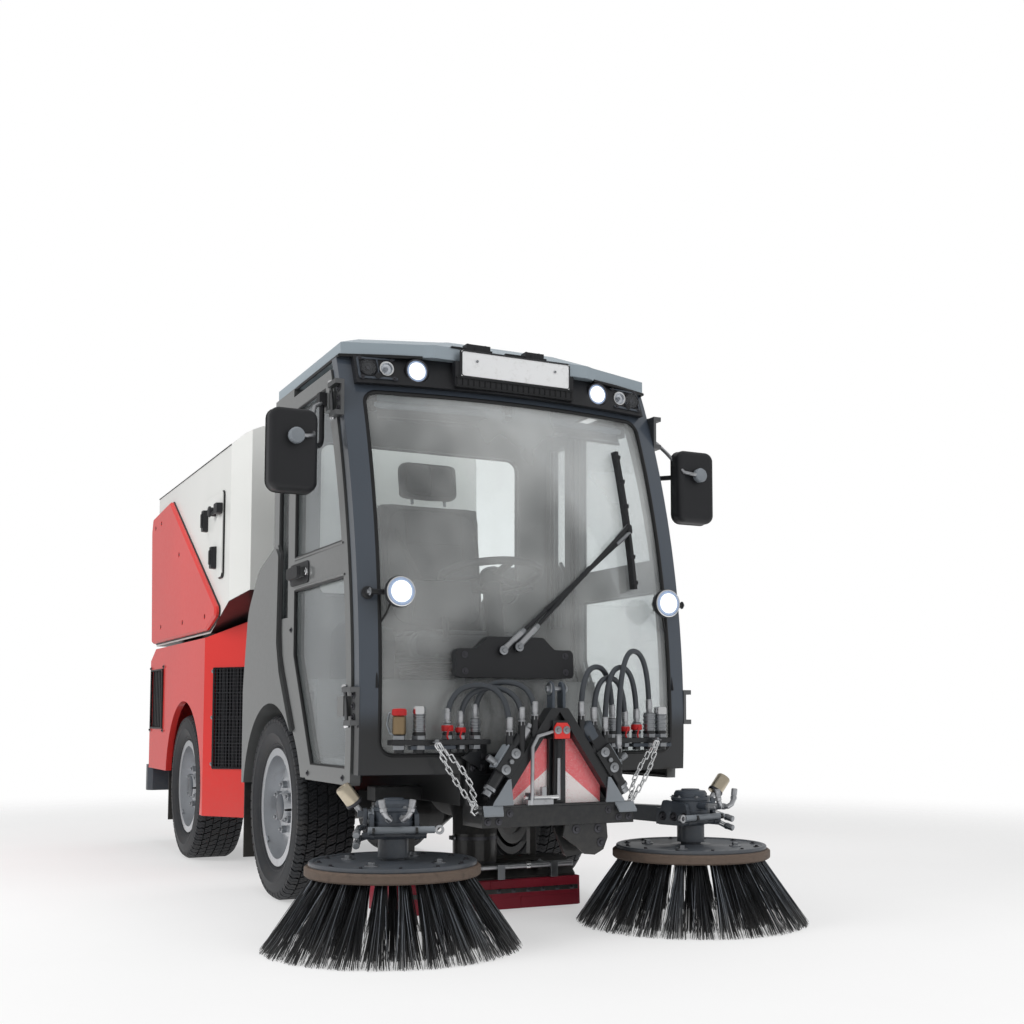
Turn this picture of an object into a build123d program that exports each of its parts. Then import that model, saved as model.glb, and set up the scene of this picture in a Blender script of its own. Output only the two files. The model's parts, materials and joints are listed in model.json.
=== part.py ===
"""Compact articulated street sweeper: a glazed cab on the front axle, an engine unit and
tipping hopper on the rear axle, and two side brooms carried ahead of the cab.

Millimetres. +X is forward, +Y is the driver's left, +Z is up, the ground is Z = 0.
Lengths named AHEAD are measured forward from the front axle.
"""

import math
import os

from build123d import *

# Wheels
TYRE_DIAMETER = 690
TYRE_WIDTH = 225
BEAD_DIAMETER = 412
BEAD_WIDTH = 164
FLANGE_HEIGHT = 16
FLANGE_WIDTH = 9
RIM_WALL = 12
WHEEL_BORE_RADIUS = 30
HAND_HOLES = 8
HAND_HOLE_RADIUS = 19
WHEEL_NUTS = 6
WHEEL_NUT_CIRCLE = 168
WHEELBASE = 1590
WIDTH_OVER_TYRES = 1200

# Broom reach and bumper set the length; the part's origin is midway between them
BROOM_AHEAD = 1135
BROOM_OUT = 535
BROOM_TIP_RADIUS = 395
BUMPER_AHEAD = -2560
FRONT_AXLE_X = -(BUMPER_AHEAD + BROOM_AHEAD + BROOM_TIP_RADIUS) / 2
REAR_AXLE_AHEAD = -WHEELBASE
AXLE_Z = TYRE_DIAMETER / 2
WHEEL_OUT = (WIDTH_OVER_TYRES - TYRE_WIDTH) / 2

# Frames
RAIL_OUT = 250
RAIL_WIDTH = 60
RAIL_LOW = 405
RAIL_HIGH = 505
PIVOT_AHEAD = -700
PIVOT_PIN_RADIUS = 30
PIVOT_EYE_RADIUS = 75
PIVOT_EYE_LOW = 422
PIVOT_EYE_HIGH = 488
FORK_PLATE = 34
RUNNING_GAP = 0.2
PLATE_GAP = 5.0

# Cab
CAB_BACK_AHEAD = -20
CAB_HALF_WIDTH = 600
CAB_FLOOR = RAIL_HIGH
CAB_TOP = 1900
PANEL = 40
DOOR_THICKNESS = 34
DOOR_PROUD = 6
DOOR_GAP = 6
DOOR_BOTTOM = 470
DOOR_TOP = CAB_TOP - 38
DOOR_REAR_AHEAD = 232
DOOR_KNEE_Z = 880
DOOR_FOOT_AHEAD = 455
SEAT_DECK = 780
WHEELHOUSE_AHEAD = 430
WINDSCREEN_PLAN_RADIUS = 2560
WINDSCREEN_GLASS = 8
PILLAR_DEPTH = 46
PILLAR_WIDTH = 62
WINDSCREEN_LOW = 565
WINDSCREEN_HIGH = CAB_TOP - 128
BELT_Z = 1200
ROOF_LIP = 44
ROOF_HIGH = CAB_TOP + 90
FENDER_OUT = 612
FENDER_SKIN = 10
ARCH_GAP = 68
FENDER_ARCH_GAP = 46

# Rear unit and hopper
BODY_OUT = 610
BODY_SKIN = 30
BODY_REAR_AHEAD = -2470
BODY_CORNER_AHEAD = -1120
BODY_NOSE_AHEAD = -900
BODY_NOSE_OUT = 450
BODY_LOW = 405
BODY_FOOT = 235
BODY_HIGH = 1045
DECK = 18
HOPPER_OUT = 590
HOPPER_LOW = 1065
HOPPER_HIGH = 1950
HOPPER_REAR_AHEAD = -2430
HOPPER_FRONT_AHEAD = -660
HOPPER_WALL = 25
HOPPER_RISE = 165
SHIELD = 26
TIP_AHEAD = -2400
TIP_Z = 1035
TIP_PIN_RADIUS = 14
FLAP_THICKNESS = 34
FLAP_AXIS_Z = HOPPER_HIGH - 18
FLAP_PIN_RADIUS = 9

# Brooms
BROOM_RING_RADIUS = 265
BROOM_RING_Z = 214
BROOM_RING_HEIGHT = 34
BROOM_PLATE = 10
BROOM_TUFTS = 26
TUFT_ROWS = ((238, BROOM_TIP_RADIUS, 0), (170, 268, 0.5))
KINGPIN_AHEAD = 680
KINGPIN_OUT = 400
KINGPIN_RADIUS = 20
LIFT_REACH = 74
LIFT_Z = 352
LIFT_PIN_RADIUS = 12
ARM_WIDTH = 50
ARM_HEIGHT = 56
MOTOR_RADIUS = 62
MOTOR_HIGH = 436

ARM_REACH = math.hypot(BROOM_AHEAD - KINGPIN_AHEAD, BROOM_OUT - KINGPIN_OUT)
ARM_ANGLE = math.degrees(math.atan2(BROOM_OUT - KINGPIN_OUT, BROOM_AHEAD - KINGPIN_AHEAD))


def fx(ahead):
    """X of a point that lies this far ahead of the front axle."""
    return FRONT_AXLE_X + ahead


def block(x, y, z):
    """Box between two limits on each axis."""
    return Pos(sum(x) / 2, sum(y) / 2, sum(z) / 2) * Box(x[1] - x[0], y[1] - y[0], z[1] - z[0])


def side_plate(face, inner, outer):
    """Sketch drawn in X and Z, given thickness from Y = inner to Y = outer on the left side."""
    return Pos(0, outer, 0) * extrude(Plane.XZ * face, outer - inner, dir=(0, -1, 0))


def front_plate(face, x_low, x_high):
    """Sketch drawn in Y and Z, given thickness from one X to another."""
    return Pos(x_low, 0, 0) * extrude(Plane.YZ * face, x_high - x_low, dir=(1, 0, 0))


def plan_plate(face, z_low, z_high):
    return Pos(0, 0, z_low) * extrude(face, z_high - z_low, dir=(0, 0, 1))


def outline(points):
    """Closed flat outline through points given as (ahead of the front axle, height)."""
    return Polygon(*[(fx(a), z) for a, z in points], align=None)


def rod_y(x, z, radius, y0, y1):
    return Pos(x, (y0 + y1) / 2, z) * Rot(90, 0, 0) * Cylinder(radius, abs(y1 - y0))


def rod_x(y, z, radius, x0, x1):
    return Pos((x0 + x1) / 2, y, z) * Rot(0, 90, 0) * Cylinder(radius, abs(x1 - x0))


def rod_z(x, y, radius, z0, z1):
    return Pos(x, y, (z0 + z1) / 2) * Cylinder(radius, z1 - z0)


def other_side(shape):
    return mirror(shape, about=Plane.XZ)


def both_sides(shape):
    return [*shape.solids(), *other_side(shape).solids()]


def save(name, *shapes):
    """Writes one sub-part; separate pieces of the same kind share its file."""
    solids = [s for shape in shapes for s in shape.solids()]
    export_step(solids[0] if len(solids) == 1 else Compound(children=solids), f"parts/{name}.step")


# Wheels and axles

def tyre():
    """Tyre ring about Y, with bulging sidewalls and a flat crown."""
    bead, crown = BEAD_DIAMETER / 2, TYRE_DIAMETER / 2
    half, half_bead = TYRE_WIDTH / 2, BEAD_WIDTH / 2
    flank = bead + FLANGE_HEIGHT + 2
    shoulder = crown - 15
    section = make_face(
        Polyline((shoulder, half - 7), (crown, half - 24), (crown, 24 - half), (shoulder, 7 - half))
        + ThreePointArc((shoulder, 7 - half), ((shoulder + flank) / 2, -half), (flank, -half_bead))
        + Polyline((flank, -half_bead), (bead, -half_bead), (bead, half_bead), (flank, half_bead))
        + ThreePointArc((flank, half_bead), ((shoulder + flank) / 2, half), (shoulder, half - 7))
    )
    return revolve(section, Axis.Y)


def rim():
    """Steel wheel about Y for the right side: rolled barrel, dished disc, hand holes, hub cap and nuts."""
    seat, half = BEAD_DIAMETER / 2 - RUNNING_GAP, BEAD_WIDTH / 2 + RUNNING_GAP
    lip = seat + FLANGE_HEIGHT
    well = seat - RIM_WALL
    disc_y, hub_y = -22, -52
    section = Polygon(
        (lip, -half - FLANGE_WIDTH), (lip, -half), (seat, -half), (seat, half), (lip, half),
        (lip, half + FLANGE_WIDTH), (well, half + FLANGE_WIDTH), (well, disc_y + RIM_WALL),
        (110, hub_y + RIM_WALL), (WHEEL_BORE_RADIUS, hub_y + RIM_WALL), (WHEEL_BORE_RADIUS, hub_y - 26),
        (52, hub_y - 26), (62, hub_y), (110, hub_y), (well, disc_y), (well, -half - FLANGE_WIDTH),
        align=None,
    )
    wheel = revolve(section, Axis.Y)
    holes = [
        Rot(0, i * 360 / HAND_HOLES, 0) * rod_y(148, 0, HAND_HOLE_RADIUS, -90, 20)
        for i in range(HAND_HOLES)
    ]
    nuts = [
        Rot(0, (i + 0.5) * 360 / WHEEL_NUTS, 0) * rod_y(WHEEL_NUT_CIRCLE / 2, 0, 13, hub_y - 20, hub_y + 2)
        for i in range(WHEEL_NUTS)
    ]
    return wheel - holes + nuts


def axle():
    """Drive axle about Y: tube, differential housing, brake drums, saddles and wheel stubs."""
    stub_end = WHEEL_OUT + 74
    drum_inner, drum_outer = WHEEL_OUT - 96, WHEEL_OUT + 18
    profile = [
        (0, 0), (125, 0), (120, 60), (75, 120), (55, 150), (55, drum_inner), (140, drum_inner),
        (140, drum_outer), (58, drum_outer), (WHEEL_BORE_RADIUS - RUNNING_GAP, drum_outer),
        (WHEEL_BORE_RADIUS - RUNNING_GAP, stub_end), (0, stub_end),
    ]
    half = revolve(Polygon(*profile, align=None), Axis.Y)
    saddle = block((-55, 55), (RAIL_OUT - 26, RAIL_OUT + 26), (0, RAIL_LOW - AXLE_Z))
    return half + other_side(half) + saddle + other_side(saddle)


WHEELS = (
    ("front_right", 0, 1), ("front_left", 0, -1),
    ("rear_right", REAR_AXLE_AHEAD, 1), ("rear_left", REAR_AXLE_AHEAD, -1),
)


def save_wheels():
    ring, wheel = tyre(), rim()
    for name, ahead, side in WHEELS:
        place = Pos(fx(ahead), -side * WHEEL_OUT, AXLE_Z)
        turned = wheel if side > 0 else other_side(wheel)
        save(f"tyre_{name}", place * ring)
        save(f"rim_{name}", place * turned)
    for name, ahead in (("front_axle", 0), ("rear_axle", REAR_AXLE_AHEAD)):
        save(name, Pos(fx(ahead), 0, AXLE_Z) * axle())


# Frames

def rails(rear, front):
    rail = block((fx(rear), fx(front)), (RAIL_OUT - RAIL_WIDTH / 2, RAIL_OUT + RAIL_WIDTH / 2),
        (RAIL_LOW, RAIL_HIGH))
    return rail + other_side(rail)


def cross_member(ahead, width, half_span=RAIL_OUT, z=(RAIL_LOW + 15, RAIL_HIGH - 15)):
    return block((fx(ahead), fx(ahead + width)), (-half_span, half_span), z)


RAIL_FRONT_AHEAD = 1050
FORK_ROOT_AHEAD = -540


def front_chassis():
    """Front frame: rails, cross members, the articulation fork with its pin, and the broom kingpins."""
    frame = rails(FORK_ROOT_AHEAD, RAIL_FRONT_AHEAD)
    frame += cross_member(FORK_ROOT_AHEAD, 70) + cross_member(900, 60)
    fork = Pos(fx(PIVOT_AHEAD), 0) * Circle(PIVOT_EYE_RADIUS) + Polygon(
        (fx(PIVOT_AHEAD), -PIVOT_EYE_RADIUS), (fx(FORK_ROOT_AHEAD + 60), -RAIL_OUT),
        (fx(FORK_ROOT_AHEAD + 60), RAIL_OUT), (fx(PIVOT_AHEAD), PIVOT_EYE_RADIUS), align=None,
    )
    low, high = PIVOT_EYE_LOW - PLATE_GAP, PIVOT_EYE_HIGH + PLATE_GAP
    frame += plan_plate(fork, low - FORK_PLATE, low) + plan_plate(fork, high, high + FORK_PLATE)
    frame += rod_z(fx(PIVOT_AHEAD), 0, PIVOT_PIN_RADIUS, low - FORK_PLATE, high + FORK_PLATE)
    frame += cross_member(KINGPIN_AHEAD - 40, 80, KINGPIN_OUT + 45, (RAIL_LOW, RAIL_LOW + 46))
    for side in (-1, 1):
        frame += rod_z(fx(KINGPIN_AHEAD), side * KINGPIN_OUT, KINGPIN_RADIUS, LIFT_Z - 52, RAIL_LOW + 20)
        frame += rod_z(fx(KINGPIN_AHEAD), side * KINGPIN_OUT, KINGPIN_RADIUS + 14, LIFT_Z - 58, LIFT_Z - 48)
    return frame


def rear_chassis():
    """Rear frame: rails, cross members and the articulation eye."""
    nose = BODY_NOSE_AHEAD
    frame = rails(BODY_REAR_AHEAD + BODY_SKIN, nose) + cross_member(nose, 70) + cross_member(-2330, 60)
    arm = Pos(fx(PIVOT_AHEAD), 0) * Circle(PIVOT_EYE_RADIUS) + Polygon(
        (fx(nose + 5), -120), (fx(PIVOT_AHEAD), -PIVOT_EYE_RADIUS),
        (fx(PIVOT_AHEAD), PIVOT_EYE_RADIUS), (fx(nose + 5), 120), align=None,
    )
    frame += plan_plate(arm, PIVOT_EYE_LOW, PIVOT_EYE_HIGH)
    return frame - rod_z(fx(PIVOT_AHEAD), 0, PIVOT_PIN_RADIUS + RUNNING_GAP, 0, CAB_TOP)


# Cab

FRONT_CURVE = ((1063, 480), (1038, 1100), (800, CAB_TOP))


def front_curve(set_back):
    """Side view of the cab's curved front at its middle, moved back by set_back."""
    return [(fx(a - set_back), z) for a, z in FRONT_CURVE]


def front_at(z, set_back=0):
    """X of the cab's front at its middle, at height z."""
    (x0, z0), (x1, z1), (x2, z2) = front_curve(set_back)
    d = 2 * (x0 * (z1 - z2) + x1 * (z2 - z0) + x2 * (z0 - z1))
    s0, s1, s2 = x0 * x0 + z0 * z0, x1 * x1 + z1 * z1, x2 * x2 + z2 * z2
    cx = (s0 * (z1 - z2) + s1 * (z2 - z0) + s2 * (z0 - z1)) / d
    cz = (s0 * (x2 - x1) + s1 * (x0 - x2) + s2 * (x1 - x0)) / d
    radius = math.hypot(x0 - cx, z0 - cz)
    return cx + math.sqrt(radius * radius - (z - cz) ** 2)


PLAN_CENTRE_X = fx(FRONT_CURVE[0][0]) - WINDSCREEN_PLAN_RADIUS


def front_skin(outer, inner, low, high, half_width):
    """Slice of the double-curved cab front between two set-backs, two heights and two sides."""
    a, b = front_curve(outer), front_curve(inner)
    section = make_face(
        ThreePointArc(*a) + Line(a[2], b[2]) + ThreePointArc(b[2], b[1], b[0]) + Line(b[0], a[0])
    )
    sweep = 32
    axis = Axis((PLAN_CENTRE_X, 0, 0), (0, 0, 1))
    skin = revolve(Rot(0, 0, 0) * (Plane.XZ * section), axis, sweep / 2)
    skin += other_side(skin)
    reach = (fx(600), fx(1300))
    return skin & block(reach, (-half_width, half_width), (low, high))


def front_round(y, z, radius, depth, proud):
    """Short cylinder facing forward on the cab front, its face proud of the curve at (y, z)."""
    x = front_face_x(y, z)
    return rod_x(y, z, radius, x + proud - depth, x + proud)


def front_face_x(y, z):
    """X of the cab's curved front at any Y and Z."""
    radius = front_at(z) - PLAN_CENTRE_X
    return PLAN_CENTRE_X + math.sqrt(radius * radius - y * y)


def windscreen_shape(grow=0.0):
    half_low, half_high = CAB_HALF_WIDTH - PILLAR_WIDTH, CAB_HALF_WIDTH - PILLAR_WIDTH - 10
    shape = Polygon(
        (-half_low - grow, WINDSCREEN_LOW - grow), (half_low + grow, WINDSCREEN_LOW - grow),
        (half_high + grow, WINDSCREEN_HIGH + grow), (-half_high - grow, WINDSCREEN_HIGH + grow), align=None,
    )
    return front_plate(fillet(shape.vertices(), 45), fx(500), fx(1300))


def cab_frame():
    """Front ring of the cab: both windscreen pillars, the header and the lower rail."""
    skin = front_skin(0, PILLAR_DEPTH, CAB_FLOOR, CAB_TOP, CAB_HALF_WIDTH)
    return skin - windscreen_shape()


def windscreen():
    return front_skin(8, 8 + WINDSCREEN_GLASS, CAB_FLOOR, CAB_TOP, CAB_HALF_WIDTH) & windscreen_shape(-0.3)


def cab_floor():
    """Stepped floor: footwell in front, wheelhouse riser, and the seat deck above the tyres."""
    front = FRONT_CURVE[0][0] - PILLAR_DEPTH - 6
    profile = outline([
        (CAB_BACK_AHEAD, SEAT_DECK), (WHEELHOUSE_AHEAD - PANEL, SEAT_DECK),
        (WHEELHOUSE_AHEAD - PANEL, CAB_FLOOR),
        (front, CAB_FLOOR), (front, CAB_FLOOR + PANEL), (WHEELHOUSE_AHEAD, CAB_FLOOR + PANEL),
        (WHEELHOUSE_AHEAD, SEAT_DECK + PANEL), (CAB_BACK_AHEAD, SEAT_DECK + PANEL),
    ])
    half = CAB_HALF_WIDTH - DOOR_THICKNESS - DOOR_GAP
    pan = side_plate(profile, -half, half)
    inside = front_skin(PILLAR_DEPTH, 900, CAB_FLOOR - 10, CAB_TOP, half + 1)
    return pan & (inside + block((fx(CAB_BACK_AHEAD), fx(800)), (-half, half), (CAB_FLOOR, CAB_TOP)))


def back_window():
    half, low, high = 430, BELT_Z - 50, CAB_TOP - 140
    frame = Polygon((-half, low), (half, low), (half, high), (-half, high), align=None)
    return fillet(frame.vertices(), 50)


def cab_back():
    half = CAB_HALF_WIDTH - PANEL
    wall = front_plate(
        Polygon((-half, SEAT_DECK + PANEL), (half, SEAT_DECK + PANEL), (half, CAB_TOP), (-half, CAB_TOP),
        align=None),
        fx(CAB_BACK_AHEAD), fx(CAB_BACK_AHEAD + PANEL),
    )
    legs = block((fx(CAB_BACK_AHEAD - 60), fx(CAB_BACK_AHEAD)), (RAIL_OUT - 30, RAIL_OUT + 30),
        (RAIL_HIGH, SEAT_DECK + 200))
    wall += legs + other_side(legs)
    return wall - front_plate(back_window(), fx(-200), fx(200))


def quarter_outline(inset=0.0):
    rear, front = CAB_BACK_AHEAD + inset, DOOR_REAR_AHEAD - DOOR_GAP - inset
    low, high = SEAT_DECK + PANEL + inset, CAB_TOP - inset
    return outline([(rear, low), (front, low), (front, high), (rear, high)])


def quarter_window(inset=0.0):
    rear, front = CAB_BACK_AHEAD + 70 + inset, DOOR_REAR_AHEAD - 50 - inset
    low, high = BELT_Z - 150 + inset, DOOR_TOP - 60 - inset
    return outline([(rear, low), (front, low), (front, high), (rear, high)])


def cab_quarter():
    """Rear side wall behind the door: a narrow window, and a leg down between door and wheel arch."""
    wall = side_plate(quarter_outline(), CAB_HALF_WIDTH - PANEL, CAB_HALF_WIDTH)
    wall -= side_plate(quarter_window(), 0, CAB_HALF_WIDTH + 100)
    front, low = DOOR_REAR_AHEAD - DOOR_GAP, SEAT_DECK + PANEL
    leg = outline([(40, low), (front, low), (front, DOOR_KNEE_Z - 4),
        (DOOR_FOOT_AHEAD - DOOR_GAP, DOOR_BOTTOM + 4),
                   (250, DOOR_BOTTOM + 4)])
    leg -= offset(fender_outline(), 0.3)
    leg -= fender_arch(2)
    return wall + side_plate(leg, CAB_HALF_WIDTH - PANEL, CAB_HALF_WIDTH)


def cab_glass():
    back = front_plate(offset(back_window(), -0.3), fx(CAB_BACK_AHEAD + 14), fx(CAB_BACK_AHEAD + 22))
    side = side_plate(quarter_window(0.3), CAB_HALF_WIDTH - 24, CAB_HALF_WIDTH - 16)
    return [back, *both_sides(side)]


ROOF_PLAN = ((-48, 560), (-20, 590), (745, 592), (835, 330), (850, 300), (850, 0))


def roof_plan(inset):
    half = [(fx(a - inset if a > 0 else a + inset), y - inset if y else 0) for a, y in ROOF_PLAN]
    return Polygon(*half, *[(x, -y) for x, y in reversed(half[:-1])], align=None)


def cab_roof():
    """Roof cap: an upright lip all round, then sloping flanks up to a flat crown."""
    lip = plan_plate(roof_plan(0), CAB_TOP, CAB_TOP + ROOF_LIP)
    low, high = Pos(0, 0, CAB_TOP + ROOF_LIP) * roof_plan(0), Pos(0, 0, ROOF_HIGH) * roof_plan(95)
    return lip + loft([low, high])


LAMP_Z = CAB_TOP - 48
VISOR_LAMPS = ((350, 42), (452, 26), (512, 30))     # offset to each side, radius


def visor():
    """Dark lamp panel under the roof's front lip, with a box recess behind the number plate."""
    panel = front_skin(-30, 0, WINDSCREEN_HIGH + 24, CAB_TOP, CAB_HALF_WIDTH - 45)
    for y, radius in VISOR_LAMPS:
        for side in (-1, 1):
            panel -= front_round(side * y, LAMP_Z, radius + RUNNING_GAP, 56, 76)
    half = PLATE_WIDTH / 2 + 20
    holder = block((front_face_x(0, LAMP_Z) + 20, front_face_x(0, LAMP_Z) + 52), (-half, half),
        (LAMP_Z - 46, LAMP_Z + 40))
    return panel + holder


PLATE_WIDTH, PLATE_HEIGHT, PLATE_THICKNESS = 415, 88, 6


def number_plate():
    x = front_face_x(0, LAMP_Z) + 52
    return block((x, x + PLATE_THICKNESS), (-PLATE_WIDTH / 2, PLATE_WIDTH / 2),
        (LAMP_Z - 10, LAMP_Z - 10 + PLATE_HEIGHT))


HEADLAMP_OUT, HEADLAMP_Z, HEADLAMP_RADIUS = 492, 1078, 50


def lamps():
    """Roof lamps in the visor, and a bracketed headlamp in front of each windscreen pillar."""
    pieces = []
    for y, radius in VISOR_LAMPS:
        for side in (-1, 1):
            pieces.append(front_round(side * y, LAMP_Z, radius, 18, 38.3))
    x = front_face_x(HEADLAMP_OUT, HEADLAMP_Z)
    bowl = revolve(Polygon((0, 0), (30, 0), (HEADLAMP_RADIUS, 40), (HEADLAMP_RADIUS, 56), (0, 68),
        align=None), Axis.Y)
    foot_out = CAB_HALF_WIDTH - PILLAR_WIDTH / 2
    lamp = Pos(x + 22, HEADLAMP_OUT, HEADLAMP_Z) * Rot(0, 0, -90) * bowl
    lamp += rod_y(x + 32, HEADLAMP_Z, 9, HEADLAMP_OUT, foot_out + 12)
    lamp += rod_x(foot_out, HEADLAMP_Z, 20, x - 60, x + 41)
    lamp -= front_skin(-0.3, 200, HEADLAMP_Z - 200, HEADLAMP_Z + 200, CAB_HALF_WIDTH)
    return [*pieces, *both_sides(lamp)]


# Doors

def door_outline(inset=0.0):
    """Side view of the door; its front edge follows the curved pillar."""
    front = [(fx(a - DOOR_SET_BACK) - inset, z) for a, z in FRONT_CURVE]
    top = (front[2][0] + 14, DOOR_TOP - inset)
    foot = (front[0][0], DOOR_BOTTOM + inset)
    edge = ThreePointArc(foot, front[1], top)
    rear = fx(DOOR_REAR_AHEAD) + inset
    rest = Polyline(
        top, (rear, DOOR_TOP - inset), (rear, DOOR_KNEE_Z + inset / 2),
        (fx(DOOR_FOOT_AHEAD) + inset, DOOR_BOTTOM + inset), foot,
    )
    return make_face(edge + rest)


DOOR_OUTER = CAB_HALF_WIDTH + DOOR_PROUD
DOOR_INNER = DOOR_OUTER - DOOR_THICKNESS
DOOR_BORDER = 52
DOOR_SET_BACK = 132


def door_windows(inset=0.0):
    """Upper and lower window openings of the door, cut by the belt rail."""
    light = door_outline(DOOR_BORDER + inset)
    far, belt = fx(1400), 58 + inset
    upper = light & Pos(fx(600), BELT_Z + belt + 500) * Rectangle(2000, 1000)
    lower = light & Pos(fx(600), BELT_Z - belt - 500) * Rectangle(2000, 1000)
    return upper, lower


def door():
    """Left door: frame with two windows, handle, and hinge blocks on the sloping pivot line."""
    leaf = side_plate(door_outline(), DOOR_INNER, DOOR_OUTER)
    for window in door_windows():
        leaf -= side_plate(window, DOOR_INNER - 10, DOOR_OUTER + 10)
    handle = block((fx(DOOR_REAR_AHEAD + 60), fx(DOOR_REAR_AHEAD + 190)), (DOOR_OUTER, DOOR_OUTER + 24),
        (BELT_Z - 20, BELT_Z + 14))
    leaf += fillet(handle.edges().filter_by(Axis.Z), 8)
    for z in HINGE_HEIGHTS:
        x = hinge_x(z)
        leaf += block((x - 60, x), (DOOR_OUTER - 4, HINGE_OUT + 9), (z - 32, z + 32))
        leaf -= hinge_rod(HINGE_PIN_RADIUS + 0.1, z, 60)
    return leaf


HINGE_OUT = DOOR_OUTER + 16
HINGE_HEIGHTS = (720, CAB_TOP - 160)
HINGE_PIN_RADIUS = 6
HINGE_STRAP = 52
HINGE_AHEAD = (934, 748)      # pivot line at the lower and the upper hinge


def hinge_x(z):
    share = (z - HINGE_HEIGHTS[0]) / (HINGE_HEIGHTS[1] - HINGE_HEIGHTS[0])
    return fx(HINGE_AHEAD[0] + share * (HINGE_AHEAD[1] - HINGE_AHEAD[0]))


HINGE_LEAN = math.degrees(math.atan2(HINGE_AHEAD[1] - HINGE_AHEAD[0], HINGE_HEIGHTS[1] - HINGE_HEIGHTS[0]))


def hinge_rod(radius, z, half_length):
    return Pos(hinge_x(z), HINGE_OUT, z) * Rot(0, HINGE_LEAN, 0) * Cylinder(radius, 2 * half_length)


def door_hinges():
    """Pins and pillar straps of both doors; they stay on the cab."""
    pieces = []
    for z in HINGE_HEIGHTS:
        x = hinge_x(z)
        for end in (-HINGE_STRAP, HINGE_STRAP):
            rear = hinge_x(z + end) - HINGE_PIN_RADIUS - 2
            pieces.append(block((rear, x + 66), (HINGE_OUT - 8, HINGE_OUT + 9), (z + end - 8, z + end + 8)))
            pieces.append(block((x + 14, x + 66), (CAB_HALF_WIDTH, HINGE_OUT + 9),
                (z + end - 8, z + end + 8)))
        pieces.append(hinge_rod(HINGE_PIN_RADIUS, z, HINGE_STRAP + 10))
        pieces.append(block((x + 14, x + 66), (CAB_HALF_WIDTH, CAB_HALF_WIDTH + 10),
            (z - HINGE_STRAP - 8, z + HINGE_STRAP + 8)))
    strap = pieces[0]
    for piece in pieces[1:]:
        strap += piece
    return strap


def door_glass():
    upper, lower = door_windows(0.3)
    middle = (DOOR_INNER + DOOR_OUTER) / 2
    return [side_plate(w, middle - 3, middle + 3) for w in (upper, lower)]


MIRROR_OUT, MIRROR_AHEAD, MIRROR_Z = CAB_HALF_WIDTH + 172, 812, HINGE_HEIGHTS[1] - 195
MIRROR_SIZE = (58, 160, 272)


def door_mirror():
    """Left mirror: rounded housing on a cranked tube from the door's upper hinge block."""
    housing = Pos(fx(MIRROR_AHEAD), MIRROR_OUT, MIRROR_Z) * Box(*MIRROR_SIZE)
    housing = fillet(housing.edges().filter_by(Axis.X), 34)
    housing = fillet(housing.faces().sort_by(Axis.X)[-1].edges(), 22)
    foot = (hinge_x(HINGE_HEIGHTS[1]) - 40, HINGE_OUT + 9 + 12, HINGE_HEIGHTS[1])
    elbow_z = MIRROR_Z + 40
    path = FilletPolyline(
        foot, (foot[0], foot[1], elbow_z), (fx(MIRROR_AHEAD) + 42, MIRROR_OUT, elbow_z), radius=34)
    tube = sweep(Plane(foot, z_dir=(0, 0, -1)) * Circle(9), path)
    clamp = block((foot[0] - 16, foot[0] + 16), (HINGE_OUT + 9, HINGE_OUT + 34),
        (foot[2] - 14, foot[2] + 30))
    boss = rod_x(MIRROR_OUT, elbow_z, 24, fx(MIRROR_AHEAD) + 20, fx(MIRROR_AHEAD) + 52)
    return housing + boss + tube + clamp


# Cab fittings

FENDER_REAR = -416
FENDER_FOOT = 420
FENDER_OUTLINE = (
    (FENDER_REAR, FENDER_FOOT), (FENDER_REAR, 800), (-350, 1105), (-190, 1262), (40, 1328), (84, 1290),
    (72, 960), (112, 850), (266, 632), (0, FENDER_FOOT),
)
FENDER_ROUNDS = ((1, 160), (2, 160), (3, 140), (4, 40), (5, 24), (6, 60), (7, 60))     # corner, radius


def fender_outline():
    """Side view of the mudguard with its corners rounded."""
    face = outline(FENDER_OUTLINE)
    for corner, radius in FENDER_ROUNDS:
        a, z = FENDER_OUTLINE[corner]
        at = face.vertices().sort_by_distance((fx(a), z, 0))[0]
        face = fillet(at, radius)
    return face


def fender_arch(grow=0.0):
    return Pos(fx(0), AXLE_Z) * Circle(TYRE_DIAMETER / 2 + FENDER_ARCH_GAP + grow)


def fender():
    """Left mudguard: outer skin and a flange all round it, open on the inside, with a round arch."""
    solid = fender_outline() - fender_arch()
    hollow = offset(fender_outline(), -FENDER_SKIN) - fender_arch(FENDER_SKIN)
    deep = side_plate(solid, CAB_HALF_WIDTH - 210, FENDER_OUT)
    deep -= side_plate(hollow, 0, FENDER_OUT - FENDER_SKIN)
    room = side_plate(outline([(CAB_BACK_AHEAD - 1, SEAT_DECK - 2), (700, SEAT_DECK - 2), (700, CAB_TOP),
        (CAB_BACK_AHEAD - 1, CAB_TOP)]), 0, CAB_HALF_WIDTH + 0.3)
    return deep - room


SEAT_RAKE = -8


def seat():
    """Driver's seat: plinth, cushion, backrest and headrest, the back as tall as the headroom allows."""
    base = SEAT_DECK + PANEL
    room = CAB_TOP - base
    plinth = block((fx(110), fx(430)), (-150, 150), (base, base + 70))
    cushion = Pos(fx(285), 0, base + 125) * Box(480, 480, 110)
    cushion = fillet(cushion.edges(), 40)
    back = Pos(fx(95), 0, base + 0.41 * room) * Rot(0, SEAT_RAKE, 0) * Box(100, 460, 0.52 * room)
    back = fillet(back.edges(), 40)
    head = Pos(fx(58), 0, base + 0.745 * room) * Rot(0, SEAT_RAKE, 0) * Box(80, 250, 0.145 * room)
    head = fillet(head.edges(), 32)
    posts = [Pos(fx(62), y, base + 0.675 * room) * Rot(0, SEAT_RAKE, 0) * Cylinder(7, 0.1 * room)
        for y in (-70, 70)]
    return plinth + cushion + back + head + posts


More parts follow.
